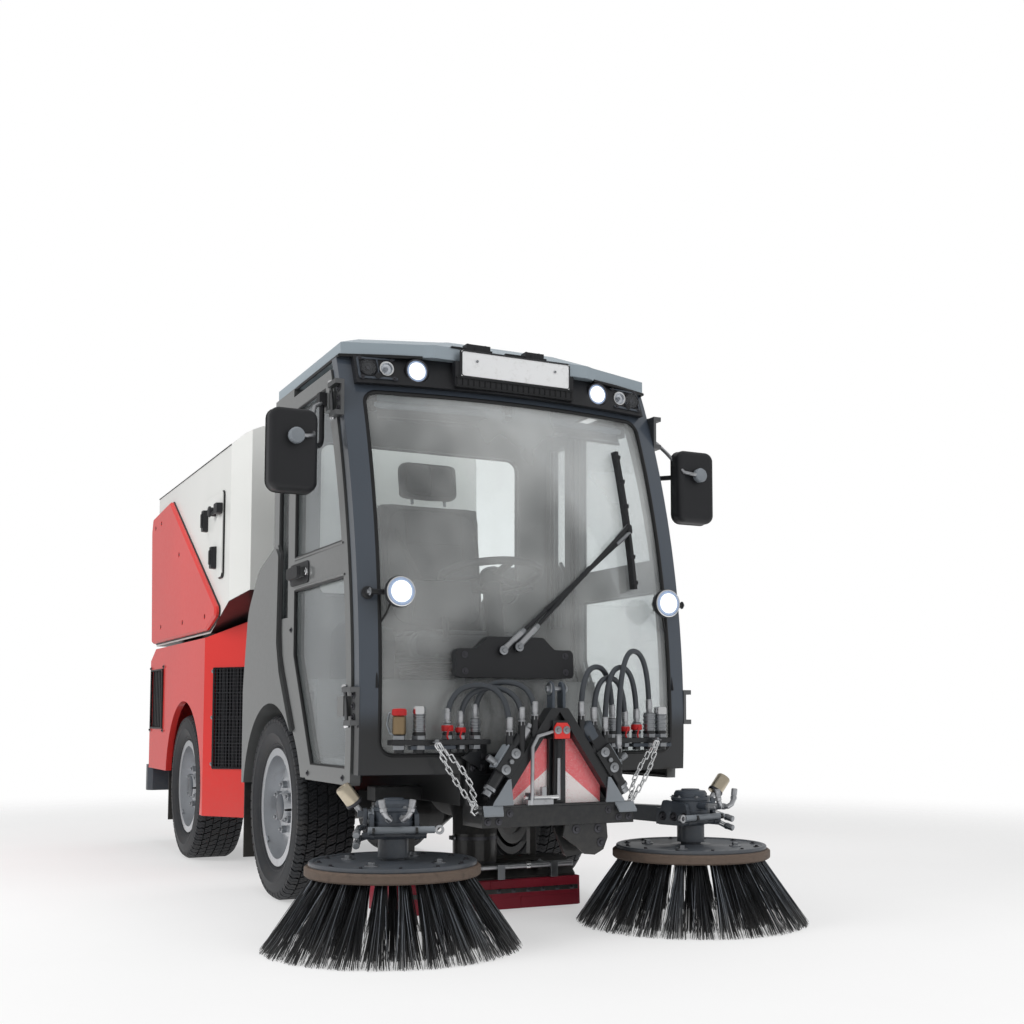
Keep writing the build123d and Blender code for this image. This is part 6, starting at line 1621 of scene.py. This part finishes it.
class SWEEPER_OT_body_trim(SweeperOperator, bpy.types.Operator):
    """Hopper latches, seams and bolts; grille mesh, lamp bezels, flap seals and mudflap strips of the rear unit"""

    bl_idname = "sweeper.body_trim"
    bl_label = "Body trim"

    def make(self, context):
        for word, side in SIDES:
            self.hopper_side(word, side)
        self.flap_seal()
        f = Forge("black_plastic")
        for side in (-1, 1):
            self.tail(f, side)
            self.nose_mesh(f, side)
            self.louvre(f, side)
            self.flap_strip(f, side, -2066, 470, (425, 578))
        f.done("rear_trim", "rear", bevel=0.0008)
        f = Forge("black_bolt")
        for side in (-1, 1):
            self.flap_strip(f, side, -406, 420, (425, 600))
        f.done("front_flap_strips", "front", bevel=0.0008)

    def hopper_side(self, word, side):
        f = Forge("seal")
        out = (0, side, 0)
        closed_bead(f, rims_of("hopper_hatches", out)[0], 0.0055, (0, -side * 0.01, 0))
        closed_bead(f, rims_of("hopper_shields", (0, -side, 0))[0], 0.005, (0, side * 0.0016, 0))
        for a, z in HATCH_LATCHES:
            plate = facing(spot(a, side * 602.2, z), out)
            f.use("black_plastic").prism(round_plate(0.046, 0.102, 0.009), 0, 0.0235, plate, 0.95)
            f.prism(round_plate(0.024, 0.07, 0.007), 0.0235, 0.03, plate, 0.9)
            f.use("fittings").bolt(plate @ Matrix.Translation((0, 0.038, 0.0232)), 0.0038, False)
        f.use("black_plastic").lathe([(0.0205, 0.001), (0.0205, 0.022), (0.025, 0.025), (0.025, 0.031), (0.021, 0.0335),
                                      (0, 0.034)], facing(spot(HATCH_KNOB[0], side * 602, HATCH_KNOB[1]), out), 28)
        f.prism(round_plate(0.066, 0.048, 0.009), 0, 0.027, facing(spot(-908, side * 601.5, 1612), out), 0.94)
        f.tube(spots([(-938, 616, 1608), (-985, 622, 1600), (-1010, 626, 1606)], side), 0.008, 12)
        for a, z in SHIELD_BOLTS:
            f.use("black_plastic").lathe([(0, 0.0), (0.0125, 0.0), (0.0125, 0.003), (0.01, 0.005), (0, 0.0055)],
                                         facing(spot(a, side * 606.2, z), out), 20)
            f.bolt(facing(spot(a, side * 610, z), out), 0.0055, False)
        top = [v for v in rims_of("hopper_shell", out)[0] if v.z > 1.6]
        ends = (min(top, key=lambda v: v.x), max(top, key=lambda v: v.x))
        f.use("seal").tube([v + Vector((0, side * 0.001, 0)) for v in ends], 0.0026)
        f.done("hopper_trim_" + word, "hopper", crease=40, bevel=0.0008)

    def flap_seal(self):
        f = Forge("seal")
        closed_bead(f, rims_of("hopper_flap", AHEAD)[0], 0.006, (-0.004, 0, 0))
        f.use("black_bolt")
        for side in (-1, 1):
            f.bolts([spot(-2465, side * 552, z) for z in (1130, 1330, 1530, 1730, 1880)], BACK, 0.0065)
        f.done("flap_seal", "hopper_flap", crease=50)

    def tail(self, f, side):
        for z, r in TAIL_LAMPS:
            r = r / 1000
            bezel = [(r + 0.0004, 0), (r + 0.0085, 0), (r + 0.0085, 0.009), (r + 0.005, 0.0125), (r + 0.0004, 0.0115)]
            f.use("black_plastic").lathe(bezel, facing(spot(-2470, side * 500, z), BACK), 44)
        holes = ((555, 430), (555, 960), (200, 960), (200, 430))
        f.use("black_bolt").bolts([spot(-2470, side * y, z) for y, z in holes], BACK, 0.0065)

    def nose_mesh(self, f, side):
        """Woven wire over the opening in the slanted corner, in a pressed frame."""
        (a0, y0), (a1, y1) = NOSE
        foot, run = spot(a0, side * y0, 0), spot(a1, side * y1, 0) - spot(a0, side * y0, 0)
        along = run.normalized()
        away = Vector((-along.y, along.x, 0)) * side

        def at(u, z, lift):
            return foot + along * u / 1000 + away * lift / 1000 + Vector((0, 0, z / 1000))

        f.use("black_bolt")
        for u in (56 + 15.3 * k for k in range(12)):
            f.tube([at(u, 456, 1.5), at(u, 901, 1.5)], MESH_WIRE)
        for z in (458 + 15.2 * k for k in range(30)):
            f.tube([at(54, z, 2.6), at(230, z, 2.6)], MESH_WIRE)
        f.use("black_plastic")
        closed_bead(f, [at(52, 452, 1), at(232, 452, 1), at(232, 905, 1), at(52, 905, 1)], 0.005)
        f.use("fittings").bolts([at(u, z, 0) for u in (44, 240) for z in (470, 680, 890)], away, 0.0045)

    def louvre(self, f, side):
        f.use("seal")
        rim = ((-2425, 622), (-2105, 622), (-2105, 930), (-2425, 930))
        closed_bead(f, [spot(a, side * 613, z) for a, z in rim], 0.006)
        holes = ((-2440, 610), (-2090, 610), (-2090, 942), (-2440, 942))
        f.use("black_bolt").bolts([spot(a, side * 613.5, z) for a, z in holes], (0, side, 0), 0.0055)

    def flap_strip(self, f, side, ahead, top, span):
        """Clamp strip and bolts along the top of a mudflap."""
        y0, y1 = span
        middle = spot(ahead - 2.5, side * (y0 + y1) / 2, top - 18)
        f.use("frame_steel").box(middle, (0.005, (y1 - y0) / 1000, 0.03))
        holes = [spot(ahead - 5, side * (y0 + (y1 - y0) * (k + 0.5) / 3), top - 18) for k in range(3)]
        f.use("fittings").bolts(holes, BACK, 0.006)


# Inside the cab

SEAT_PADS = {       # middle (ahead, up), size (ahead, across, up), rake in degrees, crown
    "cushion": ((285, 945), (480, 480, 110), 0, 0.016),
    "back": ((95, 1263), (100, 460, 562), -8, 0.014),
    "head": ((58, 1625), (80, 250, 157), -8, 0.009),
}
PAD_CUTS, PAD_CORNER, PAD_GRID = 7, 0.62, 0.006      # of the rough block; share of its depth; size of a quad
SWELL_FRAMES, SWELL_PRESSURE = 20, 4.0
STALK = ((0.045, 0.03, -0.07), (0.04, 0.09, -0.06), (0.03, 0.15, -0.044))     # from the middle of the steering wheel


class SWEEPER_OT_seat(SweeperOperator, bpy.types.Operator):
    """Driver's seat: swollen cloth pads with piping and sewn channels on a bellows base"""

    bl_idname = "sweeper.seat"
    bl_label = "Seat"

    def make(self, context):
        for name, ((ahead, up), size, rake, swell) in SEAT_PADS.items():
            place = Matrix.Translation(spot(ahead, 0, up)) @ Matrix.Rotation(math.radians(rake), 4, "Y")
            made = self.pad("seat_" + name, [s / 1000 - 1.3 * swell for s in size], place)
            self.swell(made, swell)
            soft = made.modifiers.new("soft", "SUBSURF")
            soft.levels = soft.render_levels = 1
            settle(made, "front", ("seat",) if name == "cushion" else ())
            self.seams(name, made, size, place)
        self.base()

    def pad(self, name, size, place):
        """Rounded block whose faces are crowned, evened out into small quads."""
        work = bmesh.new()
        bmesh.ops.create_cube(work, size=1.0)
        bmesh.ops.subdivide_edges(work, edges=work.edges[:], cuts=PAD_CUTS, use_grid_fill=True)
        half = [s / 2 for s in size]
        corner = min(half) * PAD_CORNER
        for v in work.verts:
            p = [c * 2 * h for c, h in zip(v.co, half)]
            core = [max(-(h - corner), min(h - corner, c)) for c, h in zip(p, half)]
            off = Vector(p) - Vector(core)
            v.co = Vector(core) + (off.normalized() * corner if off.length > 1e-9 else off)
        mesh = bpy.data.meshes.new(name)
        work.to_mesh(mesh)
        work.free()
        rough = linked(name + "_rough", mesh)
        even = rough.modifiers.new("even", "REMESH")
        even.mode, even.voxel_size = "VOXEL", PAD_GRID
        grid = bpy.data.meshes.new_from_object(rough.evaluated_get(bpy.context.evaluated_depsgraph_get()))
        bpy.data.objects.remove(rough)
        grid.transform(place)
        grid.materials.clear()
        grid.materials.append(finish("seat_cloth"))
        grid.polygons.foreach_set("use_smooth", [True] * len(grid.polygons))
        grid.name = name
        return linked(name, grid)

    def swell(self, made, cap):
        """Pressure from inside fills the cover; no point moves more than cap."""
        scene = bpy.context.scene
        cover = made.modifiers.new("cover", "CLOTH")
        cover.settings.use_pressure = True
        cover.settings.uniform_pressure_force = SWELL_PRESSURE
        cover.settings.effector_weights.gravity = 0.0
        for number in range(1, SWELL_FRAMES + 1):
            scene.frame_set(number)
        full = made.evaluated_get(bpy.context.evaluated_depsgraph_get()).data
        moved = [v.co.copy() for v in full.vertices]
        made.modifiers.remove(cover)
        scene.frame_set(1)
        for v, goal in zip(made.data.vertices, moved):
            step = goal - v.co
            v.co += step * min(1.0, cap / max(step.length, 1e-9))

    def seams(self, name, made, size, place):
        """Piping round the pad and two sewn channels, laid on the finished surface."""
        bpy.context.view_layer.update()
        shape = made.evaluated_get(bpy.context.evaluated_depsgraph_get())
        deep, wide, tall = (s / 2000 for s in size)
        flat = name == "cushion"
        f = Forge("seal")

        def on(across, along):
            """Point of the pad's front or upper face."""
            if flat:
                p, way = Vector((along * deep * 0.98, across * wide * 0.98, tall * 2)), Vector((0, 0, -1))
            else:
                p, way = Vector((deep * 3, across * wide * 0.98, along * tall * 0.98)), Vector(BACK)
            hit, where, _, _ = shape.ray_cast(place @ p, place.to_3x3() @ way)
            return where if hit else shape.closest_point_on_mesh(place @ p)[1]

        def squared(c):
            """Draws a circle's x or y towards the pad's corners."""
            return 0.84 * math.copysign(abs(c) ** 0.35, c)

        rows = (-0.52, 0.52) if name != "head" else (0.0,)
        for across in rows:
            f.tube([on(across, -0.86 + 1.72 * k / 16) for k in range(17)], 0.0026)
        if name != "head":
            for along in (-0.3, 0.34):
                f.tube([on(-0.52 + 1.04 * k / 10, along) for k in range(11)], 0.0022)
        closed_bead(f, [on(squared(x), squared(y)) for x, y in circle(48)], 0.0034)
        f.done("seat_seams_" + name, "front", crease=60)

    def base(self):
        f = Forge("rubber")
        fold = []
        for k in range(5):
            z = 0.822 + 0.0135 * k
            fold += [(0.0, z), (0.012, z + 0.00675)]
        ring = round_plate(0.3, 0.28, 0.04)
        points = []
        for grow, z in fold:
            points += [(AXLE_X + 0.27 + x * (1 + grow * 6), y * (1 + grow * 6), z) for x, y in ring]
        f.add(points, grid_faces(len(fold), len(ring), True))
        f.use("black_plastic").prism(round_plate(0.44, 0.43, 0.05), 0.8895, 0.9005, Matrix.Translation(spot(285, 0, 0)))
        for y in (-70, 70):
            f.use("chrome").tube(spots([(72, y, 1530), (62, y, 1570)]), 0.007, 12)
        f.use("black_plastic")
        for side in (-1, 1):
            f.tube(spots([(60, 225, 985), (90, 236, 1010), (120, 238, 1030)], side), 0.01, 12)
            f.lathe([(0, 0), (0.026, 0), (0.028, 0.006), (0.024, 0.02), (0, 0.021)],
                    facing(spot(120, side * 226, 955), (0, side, 0)), 24)
        belt = spots([(40, -205, 1500), (150, -150, 1370), (164, -60, 1200), (190, 60, 1040), (200, 190, 1000)])
        f.use("seal")
        strip = [p + Vector((0.004, 0, d)) for p in belt for d in (-0.022, 0.022)]
        f.add(strip, [(2 * i, 2 * i + 2, 2 * i + 3, 2 * i + 1) for i in range(len(belt) - 1)])
        f.done("seat_base", "front", bevel=0.001)


class SWEEPER_OT_interior(SweeperOperator, bpy.types.Operator):
    """Console with its lever and switches, steering stalks, pedals and display"""

    bl_idname = "sweeper.interior"
    bl_label = "Cab inside"

    def make(self, context):
        f = Forge("black_plastic")
        out = facing((0, -0.27, 0), (0, -1, 0))
        shape = [(40, 824), (420, 824), (432, 960), (400, 1006), (150, 1040), (60, 1010)]
        f.prism(upright(shape), 0, 0.12, out)
        f.use("dark_grey").prism(upright([(170, 1036), (392, 1005), (396, 1010), (172, 1042)]), 0.012, 0.108, out)
        stick = spots([(360, -330, 1008), (362, -330, 1056), (368, -331, 1086)])
        f.use("rubber").lathe([(0.03, 0.0), (0.022, 0.012), (0.024, 0.016), (0.015, 0.03), (0, 0.031)],
                              facing(stick[0], (0.06, 0, 1)), 24)
        f.use("black_plastic").tube([*stick, spot(372, -331, 1120)], [0.008, 0.008, 0.016, 0.019], 16)
        for k, colour in enumerate(("red_cap", "grey_cap", "grey_cap", "grey_cap", "red_cap")):
            f.use(colour).prism(round_plate(0.02, 0.03, 0.004), 0, 0.006,
                                facing(spot(190 + 30 * k, -330, 1039.5 - 4.1 * k), (0.14, 0, 1)), 0.85)
        self.stalks(f)
        self.pedals(f)
        self.display(f)
        f.done("cab_inside", "front", bevel=0.0012)

    def stalks(self, f):
        middle = spot(672, 0, 1190)
        for side in (-1, 1):
            stalk = [middle + Vector((x, side * y, z)) for x, y, z in STALK]
            f.use("black_plastic").tube(stalk, [0.007, 0.006, 0.009], 12)
        lean = Vector((-0.45, 0, 0.893))
        f.use("dark_grey").lathe([(0, 0.006), (0.04, 0.006), (0.036, 0.016), (0.02, 0.02), (0, 0.021)],
                                 facing(middle, lean), 32)

    def pedals(self, f):
        for y, wide in ((-170, 0.07), (150, 0.09)):
            pad = facing(spot(842, y, 660), (-0.7, 0, 0.7))
            f.use("rubber").prism(round_plate(wide, 0.1, 0.012), 0, 0.01, pad)
            for k in range(4):
                f.box((0, -0.034 + 0.022 * k, 0.0115), (wide * 0.8, 0.008, 0.004), pad)
            f.use("frame_steel").tube(spots([(846, y, 655), (880, y, 620), (905, y, 560)]), 0.009)

    def display(self, f):
        base = on_screen(-300, 1010, -70)
        f.use("black_plastic").tube([on_screen(-300, 930, -60), base], 0.011, 12)
        screen = facing(base + Vector((-0.02, 0.0, 0.06)), (-0.9, 0.25, 0.2))
        f.prism(round_plate(0.19, 0.125, 0.012), -0.014, 0.014, screen)
        f.use("seal").prism(round_plate(0.166, 0.1, 0.004), 0.014, 0.0155, screen)


# Suction mouth


class SWEEPER_OT_suction(SweeperOperator, bpy.types.Operator):
    """Slit rubber flaps in two layers, their clamp strip, neck bands and roller pins of the suction mouth"""

    bl_idname = "sweeper.suction"
    bl_label = "Suction mouth"

    def make(self, context):
        f = Forge("red_rubber")
        for layer, (low, high, cuts) in enumerate(((10, 110, (-350, -120, 118, 350)), (52, 110, (-346, 0, 346)))):
            ahead = 672.4 + 3.4 * layer
            for k, (y0, y1) in enumerate(zip(cuts, cuts[1:])):
                self.sheet(f, spots([(ahead, y0 + 1, high), (ahead, y1 - 1, high), (ahead + 2.5 + k, y1 - 1, low),
                                     (ahead + 2, y0 + 1, low)]), Vector((0.0028, 0, 0)))
        for side in (-1, 1):
            for k in range(3):
                x0 = 436 + 77 * k
                self.sheet(f, spots([(x0, 357.3, 108), (x0 + 75.6, 357.3, 108), (x0 + 75.6, 360, 10), (x0, 360, 10)],
                                    side), Vector((0, side * 0.003, 0)))
        f.use("frame_steel").box(spot(681.5, 0, 74), (0.004, 0.69, 0.016))
        f.use("black_bolt").bolts([spot(683.5, -319 + 58 * k, 74) for k in range(12)], AHEAD, 0.0045)
        f.use("drawn_steel").tube(spots([(664, -330, 158), (664, 330, 158)]), 0.0116, 18)
        for y in (-250, 40, 250):
            f.use("fittings").box(spot(678, y, 140), (0.01, 0.028, 0.052))
        self.neck(f)
        f.done("suction_fittings", "front", bevel=0.0005)

    def sheet(self, f, edge, thick):
        f.slab(edge, [p + thick for p in edge])

    def neck(self, f):
        for z in (166, 254):
            f.use("black_bolt").lathe([(0.0803, -0.006), (0.0822, -0.006), (0.0822, 0.006), (0.0803, 0.006)],
                                      Matrix.Translation(spot(540, 0, z)), 56)
            f.box((0.0, -0.088, 0), (0.03, 0.014, 0.014), Matrix.Translation(spot(540, 0, z)))
            f.use("fittings").bolt(facing(spot(556, -88, z), AHEAD), 0.005, False)
        for side in (-1, 1):
            f.use("fittings").bolt(facing(spot(664, side * 200, 170), UP), 0.006)
            f.use("chrome").lathe([(0.0112, -0.008), (0.0145, -0.008), (0.0145, 0.008), (0.0112, 0.008)],
                                  facing(spot(664, side * 150, 158), (0, 1, 0)), 20)


CLASSES = (
    SweeperColours, SweeperSizes, SweeperStage,
    SWEEPER_OT_stage, SWEEPER_OT_hoses, SWEEPER_OT_finishes, SWEEPER_OT_brooms, SWEEPER_OT_tyres, SWEEPER_OT_wheels,
    SWEEPER_OT_glazing, SWEEPER_OT_cab_trim, SWEEPER_OT_lamps, SWEEPER_OT_carrier, SWEEPER_OT_hydraulics,
    SWEEPER_OT_broom_drives, SWEEPER_OT_body_trim, SWEEPER_OT_seat, SWEEPER_OT_interior, SWEEPER_OT_suction,
)


class SWEEPER_PT_panel(bpy.types.Panel):
    """Dressing steps and settings of the sweeper"""

    bl_idname = "SWEEPER_PT_panel"
    bl_label = "Street Sweeper"
    bl_space_type = "VIEW_3D"
    bl_region_type = "UI"
    bl_category = "Sweeper"

    def draw(self, context):
        for group in ("sweeper_colours", "sweeper_sizes", "sweeper_stage"):
            settings = getattr(context.scene, group)
            box = self.layout.box()
            for name in settings.__annotations__:
                box.prop(settings, name)
        for step in STEPS:
            self.layout.operator(step.bl_idname)


STEPS = tuple(c for c in CLASSES if hasattr(c, "make"))


def register():
    for c in (*CLASSES, SWEEPER_PT_panel):
        bpy.utils.register_class(c)
    bpy.types.Scene.sweeper_colours = PointerProperty(type=SweeperColours)
    bpy.types.Scene.sweeper_sizes = PointerProperty(type=SweeperSizes)
    bpy.types.Scene.sweeper_stage = PointerProperty(type=SweeperStage)


def unregister():
    for name in ("sweeper_stage", "sweeper_sizes", "sweeper_colours"):
        delattr(bpy.types.Scene, name)
    for c in reversed((*CLASSES, SWEEPER_PT_panel)):
        bpy.utils.unregister_class(c)


def main():
    register()
    for step in STEPS:
        group, name = step.bl_idname.split(".")
        getattr(getattr(bpy.ops, group), name)()


if __name__ == "__main__":
    main()
